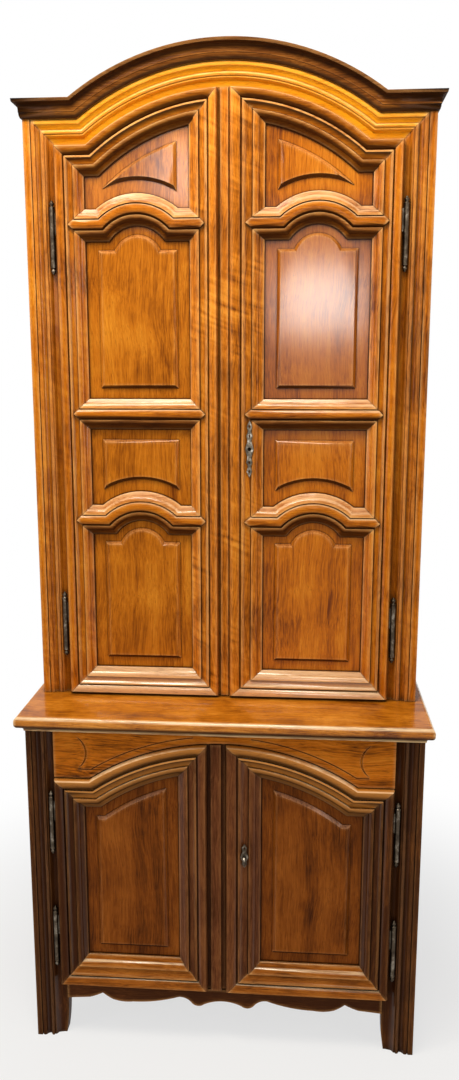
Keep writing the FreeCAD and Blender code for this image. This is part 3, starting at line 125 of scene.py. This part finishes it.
# walnut: rings, streaks and pores along the grain, curl across it, polish, darker quirks that are partly
# dark wax and partly painted shade, painted shade on undersides and painted highlight on edges and upward
# slopes
woodGrain = {
    "bendScale": 3.2,
    "bendDetail": 2,
    "bendAmount": 0.055,
    "figure": {"scale": 60, "detail": 4, "roughness": 0.6},
    "streak": {"scale": 320, "detail": 4, "roughness": 0.65},
    "pore": {"scale": 800, "detail": 2, "roughness": 0.5},
    "cloud": {"scale": 6.5, "detail": 5, "roughness": 0.6},
    "growth": {"scale": 4.2, "detail": 1, "roughness": 0.4},
    "ringCount": 42,
    "ringWaver": 2,
    "curl": {"scale": 75, "detail": 1},
    "curlSlant": 0.45,
    "curlWidth": 0.12,
    "curlClouds": (0.4, 0.62),
    "toneStops": (0.15, 0.5, 0.85),
    "poreSpan": (0.58, 0.7),
    "wormScale": 42,
    "wormSpan": (0.05, 0.03),
    "wormClouds": (0.5, 0.6),
    "frontSpan": (0.5, 0.1),
    "edgeReach": 0.008,
    "edgeSpan": (0.93, 0.5),
    "levelSpan": (0.99, 0.9),
    "leanSpan": (0.3, 0.7),
    "leanShare": 0.6,
    "patchSpan": (0.75, 1.15, 0.3, 1),
    "quirkReach": 0.022,
    "quirkSpan": (0.95, 0.2),
    "lineReach": 0.004,
    "lineStart": 0.95,
    "undersideSpan": (0, -0.55),
    "waxDulls": 0.8,
    "bumpHeight": 0.0012,
    "heights": {"pore": -0.5, "streak": 0.3, "figure": 0.5, "worm": -2},
    "roughens": {"streak": 0.16, "waxAndShade": 0.3, "pore": 0.1},
}
grainStretch = 0.05
alongFactor = {"x": (grainStretch, 1, 1), "y": (1, grainStretch, 1), "z": (1, 1, grainStretch)}
acrossAxis = {"x": "Z", "y": "Z", "z": "X"}


def woodFinish(name, look):
    finish, wire = newFinish(name)
    place = wire.add("ShaderNodeTexCoord", out="Object")
    grain = look["grain"]
    sockets = {"Vector": place, "Scale": woodGrain["bendScale"], "Detail": woodGrain["bendDetail"]}
    bend = wire.add("ShaderNodeTexNoise", None, sockets, out="Color")
    bend = scaled(wire, bend, (woodGrain["bendAmount"],) * 3)
    bent = wire.add("ShaderNodeVectorMath", {"operation": "ADD"}, {0: place, 1: bend})
    drawn = scaled(wire, bent, alongFactor[grain])
    figure = noise(wire, drawn, **woodGrain["figure"])
    streak = noise(wire, drawn, **woodGrain["streak"])
    pore = noise(wire, drawn, **woodGrain["pore"])
    cloud = noise(wire, bent, **woodGrain["cloud"])

    # growth rings are level lines of a slow noise, so they close into flames
    growth = noise(wire, drawn, **woodGrain["growth"])
    ring = wire.maths("SINE", growth * woodGrain["ringCount"] + streak * woodGrain["ringWaver"], 0)

    parts = wire.add("ShaderNodeSeparateXYZ", None, {0: bent})
    across = parts.beside(acrossAxis[grain])
    along = parts.beside(grain.upper()) + across * woodGrain["curlSlant"]
    ripple = wire.add("ShaderNodeCombineXYZ", None, {0: along, 1: across * woodGrain["curlWidth"]})
    curl = noise(wire, ripple, **woodGrain["curl"]) - middle
    curl = curl * between(wire, cloud, *woodGrain["curlClouds"]) * look["curl"]

    tone = middle + (figure - middle) * look["figure"] + (streak - middle) * look["streak"] + curl
    tone = tone + ring * look["rings"] + (cloud - middle) * look["cloud"]
    stops = list(zip(woodGrain["toneStops"], (look["dark"], look["mid"], look["pale"])))
    colour = wire.add("ShaderNodeValToRGB", {"stops": stops}, {0: tone})

    # a stretch of height on the front gets a painted glare in its colour and more shine in its coat
    facing = wire.add("ShaderNodeSeparateXYZ", None, {0: place.beside("Normal")})
    front = between(wire, facing.beside("Y"), *woodGrain["frontSpan"])
    level = parts.beside("Z")
    glareBand = between(wire, level, *look["glareBand"]) * between(wire, level, *look["glareBandEnd"]) * front
    colour = mixed(wire, glareBand * look["paintedGlareShare"], colour, look["under"])
    poreMask = between(wire, pore, *woodGrain["poreSpan"])
    colour = mixed(wire, poreMask * look["pores"], colour, look["dark"])
    worm = wire.add("ShaderNodeTexVoronoi", None, {"Vector": place, "Scale": woodGrain["wormScale"]})
    wormMask = between(wire, worm, *woodGrain["wormSpan"]) * look["worms"]
    colour = mixed(wire, wormMask * between(wire, cloud, *woodGrain["wormClouds"]), colour, look["waxAndShadeTone"])

    # sharp edges lighter, partly wear and partly painted highlight; painted highlight on slopes that face
    # up; quirks darker, partly dark wax and partly painted shade; painted shade on undersides
    rise = facing.beside("Z")
    sharp = hollows(wire, woodGrain["edgeReach"], inside=True)
    crest = between(wire, sharp, *woodGrain["edgeSpan"]) * front
    ledge = between(wire, rise, *look["ledge"]) * between(wire, rise, *woodGrain["levelSpan"])
    aside = wire.maths("ABSOLUTE", facing, 0)
    lean = between(wire, aside, *woodGrain["leanSpan"]) * between(wire, aside, *woodGrain["levelSpan"])
    patchy = between(wire, figure + streak, *woodGrain["patchSpan"])
    # worn tone on sharp front edges: partly wear, partly painted highlight
    colour = mixed(wire, crest * look["wearAndHighlight"] * patchy, colour, look["worn"])
    # painted highlight: a pale tone on slopes that face up
    colour = mixed(wire, ledge * patchy * look["paintedHighlight"], colour, look["highlightTone"])
    # quirks and fine lines darkened from ambient occlusion: partly dark wax, partly painted shade
    quirk = between(wire, hollows(wire, woodGrain["quirkReach"]), *woodGrain["quirkSpan"])
    line = between(wire, hollows(wire, woodGrain["lineReach"]), woodGrain["lineStart"], look["lineDepth"])
    # painted shade: surfaces that face down are darkened
    underside = between(wire, rise, *woodGrain["undersideSpan"])
    waxAndShade = wire.maths("MAXIMUM", quirk * look["patinaAndShade"], line * look["lines"])
    waxAndShade = wire.maths("MAXIMUM", waxAndShade, underside * look["shade"])
    colour = mixed(wire, waxAndShade, colour, look["waxAndShadeTone"])

    heights = woodGrain["heights"]
    height = poreMask * heights["pore"] + streak * heights["streak"]
    height = height + figure * heights["figure"] + wormMask * heights["worm"]
    sockets = {"Strength": look["relief"], "Distance": woodGrain["bumpHeight"], "Height": height}
    bump = wire.add("ShaderNodeBump", None, sockets)
    glint = wire.maths("MAXIMUM", ledge, lean * woodGrain["leanShare"])
    polish = look["polish"] + glareBand * look["glow"] + glint * look["glint"]
    roughens = woodGrain["roughens"]
    roughness = look["roughness"] + (streak - middle) * roughens["streak"]
    roughness = roughness + waxAndShade * roughens["waxAndShade"] + poreMask * roughens["pore"]
    sockets = {
        "Base Color": colour,
        "Roughness": roughness,
        "Specular IOR Level": look["sheen"],
        "Coat Weight": polish * (1 - waxAndShade * woodGrain["waxDulls"]),
        "Coat Roughness": look["polishRoughness"],
        "Normal": bump,
    }
    shader = wire.add("ShaderNodeBsdfPrincipled", None, sockets)
    wire.add("ShaderNodeOutputMaterial", None, {"Surface": shader})
    return finish


# forged iron and worn steel: mottled, brighter where hands rub it
ironSurface = {
    "mottle": {"detail": 4, "roughness": 0.65},
    "speck": {"detail": 2, "roughness": 0.6},
    "speckFiner": 6,
    "speckShare": 0.3,
    "rubSpan": (0.66, 0.86),
    "toneSpan": (0.2, 0.75),
    "rustSpan": (0.56, 0.7),
    "crustSpan": (0.5, 0.7),
    "hollowReach": 0.012,
    "hollowSpan": (0.75, 0.3),
    "relief": 0.25,
    "bumpHeight": 0.0006,
    "mottleRoughens": 0.3,
}


def ironFinish(name, look):
    finish, wire = newFinish(name)
    place = wire.add("ShaderNodeTexCoord", out="Object")
    scale = look["mottleScale"]
    mottle = noise(wire, place, scale, **ironSurface["mottle"])
    speck = noise(wire, place, scale * ironSurface["speckFiner"], **ironSurface["speck"])
    coarse = mottle + speck * ironSurface["speckShare"]
    rubbed = between(wire, coarse, *ironSurface["rubSpan"])
    rust = between(wire, speck, *ironSurface["rustSpan"])
    crust = between(wire, speck, *ironSurface["crustSpan"])
    hollow = between(wire, hollows(wire, ironSurface["hollowReach"]), *ironSurface["hollowSpan"])
    colour = mixed(wire, between(wire, mottle, *ironSurface["toneSpan"]), look["dark"], look["metal"])
    colour = mixed(wire, rust * look["rust"], colour, look["rustTone"])
    colour = mixed(wire, rubbed * look["rub"], colour, look["bright"])
    colour = mixed(wire, hollow, colour, look["dark"])
    sockets = {"Strength": ironSurface["relief"], "Distance": ironSurface["bumpHeight"], "Height": coarse}
    bump = wire.add("ShaderNodeBump", None, sockets)
    sockets = {
        "Base Color": colour,
        "Metallic": 1 - crust * look["rust"],
        "Roughness": look["roughness"] + (mottle - middle) * ironSurface["mottleRoughens"],
        "Normal": bump,
    }
    shader = wire.add("ShaderNodeBsdfPrincipled", None, sockets)
    wire.add("ShaderNodeOutputMaterial", None, {"Surface": shader})
    return finish


upperWood = {
    "grain": "z",
    "pale": (0.70, 0.240, 0.014),
    "mid": (0.51, 0.136, 0.004),
    "dark": (0.15, 0.031, 0.002),
    # the worn tone paints both worn edges and a painted highlight on them
    "worn": (0.86, 0.50, 0.19),
    "highlightTone": (0.94, 0.66, 0.36),
    "waxAndShadeTone": (0.020, 0.007, 0.003),
    "figure": 0.6,
    "streak": 1.0,
    "rings": 0.06,
    "cloud": 0.8,
    "curl": 0.0,
    "pores": 0.5,
    "worms": 0.7,
    "wearAndHighlight": 0.75,
    "patinaAndShade": 0.8,
    "lines": 0.6,
    "lineDepth": 0.6,
    "paintedHighlight": 0.5,
    "ledge": (0.25, 0.65),
    "shade": 0.85,
    "relief": 0.14,
    "roughness": 0.38,
    "sheen": 0.02,
    "polish": 0.06,
    "glint": 0.5,
    "polishRoughness": 0.14,
    "glareBand": (2.02, 2.1),
    "glareBandEnd": (3.0, 2.9),
    "glow": 0.0,
    "paintedGlareShare": 0.0,
    "under": (0.17, 0.038, 0.003),
}
# the lower cabinet's walnut, darker than the upper's: partly a darker wood, partly painted shade
lowerWood = dict(
    upperWood,
    pale=(0.36, 0.105, 0.012),
    mid=(0.22, 0.055, 0.005),
    dark=(0.05, 0.012, 0.002),
    worn=(0.62, 0.30, 0.10),
    highlightTone=(0.80, 0.46, 0.20),
    waxAndShadeTone=(0.010, 0.004, 0.002),
)
panelEdge = {"rings": 0.08, "paintedHighlight": 0.1, "patinaAndShade": 0.95, "lines": 0.85, "lineDepth": 0.82}
woods = {
    "upper upright": dict(upperWood, curl=0.5, cloud=1.2, wearAndHighlight=0.55, glint=1.1),
    "upper figured": dict(
        upperWood, pale=(0.82, 0.31, 0.03), mid=(0.62, 0.18, 0.010), curl=1.3, cloud=1.1, wearAndHighlight=0.55
    ),
    "upper across": dict(
        upperWood, grain="x", paintedHighlight=0.6, glint=0.8,
        glareBand=(1.12, 1.04), glow=0.6, paintedGlareShare=0.32, under=(0.94, 0.62, 0.30),
    ),
    "upper deep": dict(upperWood, grain="y"),
    "upper panel": dict(upperWood, **panelEdge),
    "upper crest panel": dict(
        upperWood, mid=(0.50, 0.146, 0.007), pale=(0.69, 0.25, 0.018), glow=0.6, **panelEdge
    ),
    "mirror panel": dict(
        upperWood, glareBand=(1.5, 1.62), glareBandEnd=(2.14, 2.07), glow=0.5, paintedGlareShare=0.38, polish=0.22, **panelEdge
    ),
    # the frieze is far paler than the rest of the walnut: partly its own golden tone, partly painted light
    # on its cove
    "frieze": dict(
        upperWood, grain="x", pale=(0.98, 0.46, 0.020), mid=(0.96, 0.37, 0.006), dark=(0.46, 0.12, 0.004),
        shade=0.1, patinaAndShade=0.45, cloud=0.5,
    ),
    "crown": dict(
        upperWood, grain="x", pale=(0.42, 0.145, 0.020), mid=(0.19, 0.054, 0.006),
        dark=(0.045, 0.013, 0.003), worn=(0.55, 0.27, 0.09), highlightTone=(0.70, 0.44, 0.22), paintedHighlight=0.7, glint=0.8,
    ),
    # the waist board's nosing and upward slopes carry strong painted highlight as well as wear
    "waist board": dict(
        upperWood, grain="x", pale=(0.78, 0.30, 0.03), mid=(0.54, 0.17, 0.008), worms=0.9, cloud=1.4,
        polish=0.45, worn=(0.95, 0.64, 0.30), wearAndHighlight=1.0, paintedHighlight=0.95, glint=0.8,
    ),
    # the lower uprights are darkest of all, partly painted shade
    "lower upright": dict(
        lowerWood, mid=(0.062, 0.018, 0.004), pale=(0.15, 0.045, 0.008), wearAndHighlight=0.25, glint=0.7
    ),
    "lower figured": dict(
        lowerWood, mid=(0.15, 0.046, 0.014), pale=(0.26, 0.09, 0.025), wearAndHighlight=0.35, glint=0.8
    ),
    "lower across": dict(
        lowerWood, grain="x", mid=(0.34, 0.095, 0.009), pale=(0.54, 0.18, 0.022), highlightTone=(0.96, 0.66, 0.36),
        wearAndHighlight=0.95, paintedHighlight=0.95, glint=1.0, ledge=(0.5, 0.78),
        patinaAndShade=1.0, glareBand=(0.56, 0.62), glow=0.2, paintedGlareShare=0.65, under=(0.88, 0.33, 0.045),
    ),
    "lower deep": dict(lowerWood, grain="y"),
    "lower panel": dict(lowerWood, **panelEdge),
    "lower spandrel": dict(
        lowerWood, grain="x", mid=(0.60, 0.16, 0.007), pale=(0.76, 0.26, 0.020), lines=1.0
    ),
    "lower apron": dict(lowerWood, grain="x", mid=(0.07, 0.02, 0.004), pale=(0.15, 0.045, 0.009)),
}
rawWood = dict(
    upperWood,
    pale=(0.46, 0.27, 0.12),
    mid=(0.33, 0.175, 0.072),
    dark=(0.13, 0.062, 0.026),
    worn=(0.44, 0.27, 0.13),
    waxAndShadeTone=(0.035, 0.02, 0.012),
    wearAndHighlight=0.3,
    paintedHighlight=0.0,
    glint=0.0,
    pores=0.8,
    relief=0.4,
    roughness=0.68,
    sheen=0.15,
    polish=0.0,
)
woods["back boards"] = rawWood
woods["shelf boards"] = dict(rawWood, grain="x")
metals = {
    "black iron": {
        "metal": (0.125, 0.094, 0.063),
        "dark": (0.024, 0.018, 0.012),
        "bright": (0.50, 0.45, 0.37),
        "rustTone": (0.055, 0.026, 0.012),
        "rust": 0.4,
        "rub": 0.4,
        "mottleScale": 60,
        "roughness": 0.42,
    },
    "worn steel": {
        "metal": (0.24, 0.20, 0.15),
        "dark": (0.030, 0.024, 0.017),
        "bright": (0.70, 0.64, 0.55),
        "rustTone": (0.07, 0.034, 0.015),
        "rust": 0.4,
        "rub": 0.75,
        "mottleScale": 90,
        "roughness": 0.36,
    },
}
finishes = {name: woodFinish(name, look) for name, look in woods.items()}
finishes.update({name: ironFinish(name, look) for name, look in metals.items()})
print("finishes made:", len(finishes))

# which finish each node wears, by the end of its name
wears = [
    ("cornice", "crown"),
    ("upper_head_rail", "frieze"),
    ("lower_head_rail", "lower spandrel"),
    ("lower_apron", "lower apron"),
    ("waist_top", "waist board"),
    ("back", "back boards"),
    ("locating_pegs", "back boards"),
    ("floor", "shelf boards"),
    ("shelf", "shelf boards"),
    ("shelves", "shelf boards"),
    ("roof", "shelf boards"),
    ("lower_escutcheon", "black iron"),
    ("escutcheon", "worn steel"),
    ("key", "worn steel"),
    ("hinges", "black iron"),
    ("irons", "black iron"),
    ("bolt", "black iron"),
    ("lock_case", "black iron"),
    ("side_rails", "deep"),
    ("side_panels", "panel"),
    ("upper_right_panels", "mirror panel"),
    ("upper_left_panels", "upper crest panel"),
    ("panels", "panel"),
    ("panel", "panel"),
    ("rails", "across"),
    ("meeting_stile", "figured"),
    ("stile", "upright"),
    ("post", "upright"),
    ("posts", "upright"),
]


def finishFor(node):
    kind = next(finish for ending, finish in wears if node.endswith(ending))
    level = node.split("_")[0]
    return finishes[kind if kind in finishes else f"{level} {kind}"]


# hand-softened edges and round mouldings, left to modifiers so that the frame's meshes stay as they are
softening = {
    "weld": 0.00002,
    "bevel": 0.0007,
    "metalShare": 0.4,
    "bevelSteps": 2,
    "bevelAngle": 58,
    "smoothAngle": 40,
}


def smoothByAngle():
    group = bpy.data.node_groups.new("smooth round stretches", "GeometryNodeTree")
    group.interface.new_socket("Geometry", in_out="INPUT", socket_type="NodeSocketGeometry")
    group.interface.new_socket("Geometry", in_out="OUTPUT", socket_type="NodeSocketGeometry")
    wire = Wire(group)
    mesh = wire.add("NodeGroupInput")
    rounded = wire.add("GeometryNodeSetShadeSmooth", {"domain": "FACE"}, {0: mesh, "Shade Smooth": True})
    angle = wire.add("GeometryNodeInputMeshEdgeAngle")
    sharp = wire.add(
        "FunctionNodeCompare",
        {"data_type": "FLOAT", "operation": "GREATER_THAN"},
        {0: angle, 1: math.radians(softening["smoothAngle"])},
    )
    done = wire.add(
        "GeometryNodeSetShadeSmooth",
        {"domain": "EDGE"},
        {0: rounded, "Selection": sharp, "Shade Smooth": False},
    )
    wire.add("NodeGroupOutput", None, {0: done})
    return group


roundStretches = smoothByAngle()


def soften(piece, bevel):
    weld = piece.modifiers.new("weld", "WELD")
    weld.merge_threshold = softening["weld"]
    edge = piece.modifiers.new("softened edges", "BEVEL")
    edge.width = bevel
    edge.segments = softening["bevelSteps"]
    edge.limit_method = "ANGLE"
    edge.angle_limit = math.radians(softening["bevelAngle"])
    edge.use_clamp_overlap = True
    smooth = piece.modifiers.new("round stretches", "NODES")
    smooth.node_group = roundStretches
    flats = piece.modifiers.new("level flats", "WEIGHTED_NORMAL")
    flats.keep_sharp = True


for nodeName, piece in nodes.items():
    finish = finishFor(nodeName)
    for slot in piece.material_slots:
        slot.material = finish
    share = softening["metalShare"] if finish.name in metals else 1
    soften(piece, softening["bevel"] * share)
print("nodes dressed")

# turned ends of the hinge barrels
hingeEnd = {
    "turns": 20,
    "profile": [(0.0062, 0), (0.0071, 0.0012), (0.0062, 0.0025), (0.0036, 0.0038), (0.0034, 0.0052),
                (0.0056, 0.0085), (0.0060, 0.0105), (0.0046, 0.0128), (0.0026, 0.0141), (0.0029, 0.0152),
                (0.0022, 0.0168), (0, 0.0175)],
    "barrelHalf": 0.066,
    "places": {
        "lower": {"side": 0.422, "front": -0.241, "levels": (0.595, 0.285)},
        "upper": {"side": 0.410, "front": -0.093, "levels": (2.000, 1.062)},
    },
}


def turned(name, profile, turns, centre, up):
    points = []
    faces = []
    for radius, rise in profile:
        for step in range(turns):
            angle = 2 * math.pi * step / turns
            x = radius * math.cos(angle)
            y = radius * math.sin(angle) * up
            points.append((centre[0] + x, centre[1] + y, centre[2] + rise * up))
    for ring in range(len(profile) - 1):
        for step in range(turns):
            first = ring * turns + step
            after = ring * turns + (step + 1) % turns
            faces.append((first, after, after + turns, first + turns))
    faces.append(tuple(reversed(range(turns))))
    mesh = bpy.data.meshes.new(name)
    mesh.from_pydata(points, [], faces)
    mesh.validate()
    mesh.polygons.foreach_set("use_smooth", [True] * len(mesh.polygons))
    piece = bpy.data.objects.new(name, mesh)
    bpy.context.scene.collection.objects.link(piece)
    return piece


for level, spot in hingeEnd["places"].items():
    for hand, side in (("left", -1), ("right", 1)):
        for number, height in enumerate(spot["levels"], 1):
            for end, up in (("top", 1), ("foot", -1)):
                centre = (side * spot["side"], spot["front"], height + up * hingeEnd["barrelHalf"])
                name = f"{level}_{hand}_hinge_{number}_{end}"
                finial = turned(name, hingeEnd["profile"], hingeEnd["turns"], centre, up)
                weld = finial.modifiers.new("weld", "WELD")
                weld.merge_threshold = softening["weld"]
                finial.data.materials.append(finishes["black iron"])
                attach(finial, f"{level}_{hand}_door" if end == "top" else f"{level}_cabinet")
print("hinge ends turned")

# floor, daylight and lamps
room = {
    "floorHalf": 9.0,
    "floorTone": (0.80, 0.79, 0.77),
    "castTone": (0.70, 0.69, 0.67),
    "castShare": 0.08,
    "cast": {"scale": 2.2, "detail": 3},
    "floorRoughness": 0.85,
    "white": (1, 1, 1, 1),
    "whiteStrength": 1.0,
    "clearFrom": 0.55,
    "clearTo": 1.5,
    "shadowShare": 0.32,
    "sky": (0.92, 0.95, 1.0),
    "skyStrength": 0.20,
}


def seen(wire):
    rays = wire.add("ShaderNodeLightPath", out="Is Camera Ray")
    both = wire.maths("MAXIMUM", rays, rays.beside("Is Glossy Ray"))
    return wire.maths("MAXIMUM", both, rays.beside("Is Transmission Ray"))


def floorFinish():
    finish, wire = newFinish("pale floor")
    place = wire.add("ShaderNodeTexCoord", out="Object")
    apart = wire.add("ShaderNodeVectorMath", {"operation": "LENGTH"}, {0: place}, out="Value")
    clear = between(wire, apart, room["clearFrom"], room["clearTo"], 1 - room["shadowShare"], 1)
    cast = noise(wire, place, **room["cast"])
    tone = mixed(wire, cast * room["castShare"], room["floorTone"], room["castTone"])
    sockets = {"Base Color": tone, "Roughness": room["floorRoughness"]}
    matt = wire.add("ShaderNodeBsdfPrincipled", None, sockets)
    sockets = {"Color": room["white"], "Strength": room["whiteStrength"]}
    white = wire.add("ShaderNodeEmission", None, sockets)
    surface = wire.add("ShaderNodeMixShader", None, {0: clear * seen(wire), 1: matt, 2: white})
    wire.add("ShaderNodeOutputMaterial", None, {"Surface": surface})
    return finish


def layFloor():
    half = room["floorHalf"]
    mesh = bpy.data.meshes.new("floor")
    corners = [(-half, -half, 0), (half, -half, 0), (half, half, 0), (-half, half, 0)]
    mesh.from_pydata(corners, [], [(0, 1, 2, 3)])
    floor = bpy.data.objects.new("floor", mesh)
    bpy.context.scene.collection.objects.link(floor)
    mesh.materials.append(floorFinish())


def setSky():
    world = bpy.data.worlds.new("daylight")
    bpy.context.scene.world = world
    world.use_nodes = True
    world.node_tree.nodes.clear()
    wire = Wire(world.node_tree)
    sockets = {"Color": (*room["sky"], 1), "Strength": room["skyStrength"]}
    soft = wire.add("ShaderNodeBackground", None, sockets)
    sockets = {"Color": room["white"], "Strength": room["whiteStrength"]}
    white = wire.add("ShaderNodeBackground", None, sockets)
    surface = wire.add("ShaderNodeMixShader", None, {0: seen(wire), 1: soft, 2: white})
    wire.add("ShaderNodeOutputWorld", None, {"Surface": surface})


lamps = {
    "ceiling lamp": {"at": (-0.4, -1.05, 3.4), "to": (0, -0.1, 1.2), "size": (1.6, 0.7), "watts": 58,
                     "colour": (1.0, 0.94, 0.84)},
    "high window": {"at": (-0.52, -3.4, 2.8), "to": (0, 0, 2.0), "size": (0.36, 0.36), "watts": 6,
                    "colour": (1.0, 0.97, 0.93)},
    "window": {"at": (0.29, -3.5, 2.11), "to": (0.2, 0, 1.8), "size": (0.5, 0.36), "watts": 15,
               "colour": (1.0, 0.97, 0.93)},
    "left strip": {"at": (-2.3, -1.7, 2.0), "to": (0, -0.1, 1.7), "size": (0.35, 1.8), "watts": 9,
                   "colour": (1.0, 0.95, 0.88)},
    "right strip": {"at": (2.4, -1.5, 2.0), "to": (0, -0.1, 1.6), "size": (0.35, 1.8), "watts": 7,
                    "colour": (1.0, 0.95, 0.88)},
}


def hangLamp(name, lamp):
    light = bpy.data.lights.new(name, "AREA")
    light.shape = "RECTANGLE"
    light.size, light.size_y = lamp["size"]
    light.energy = lamp["watts"]
    light.color = lamp["colour"]
    hung = bpy.data.objects.new(name, light)
    hung.location = lamp["at"]
    aim = Vector(lamp["to"]) - Vector(lamp["at"])
    hung.rotation_euler = aim.to_track_quat("-Z", "Y").to_euler()
    bpy.context.scene.collection.objects.link(hung)


layFloor()
setSky()
for lampName, lamp in lamps.items():
    hangLamp(lampName, lamp)
print("room lit")

# where the photographer stood
viewpoint = {"at": (0.1756, -2.2907, 1.6956), "tilt": 0.1846, "turn": 0.0768, "lens": 30.39, "film": 36}
eye = bpy.data.cameras.new("photographer")
eye.sensor_fit = "VERTICAL"
eye.sensor_height = viewpoint["film"]
eye.lens = viewpoint["lens"]
stand = bpy.data.objects.new("photographer", eye)
stand.location = viewpoint["at"]
stand.rotation_euler = (math.pi / 2 - viewpoint["tilt"], 0, viewpoint["turn"])
bpy.context.scene.collection.objects.link(stand)
bpy.context.scene.camera = stand
bpy.context.scene.view_settings.view_transform = "Standard"
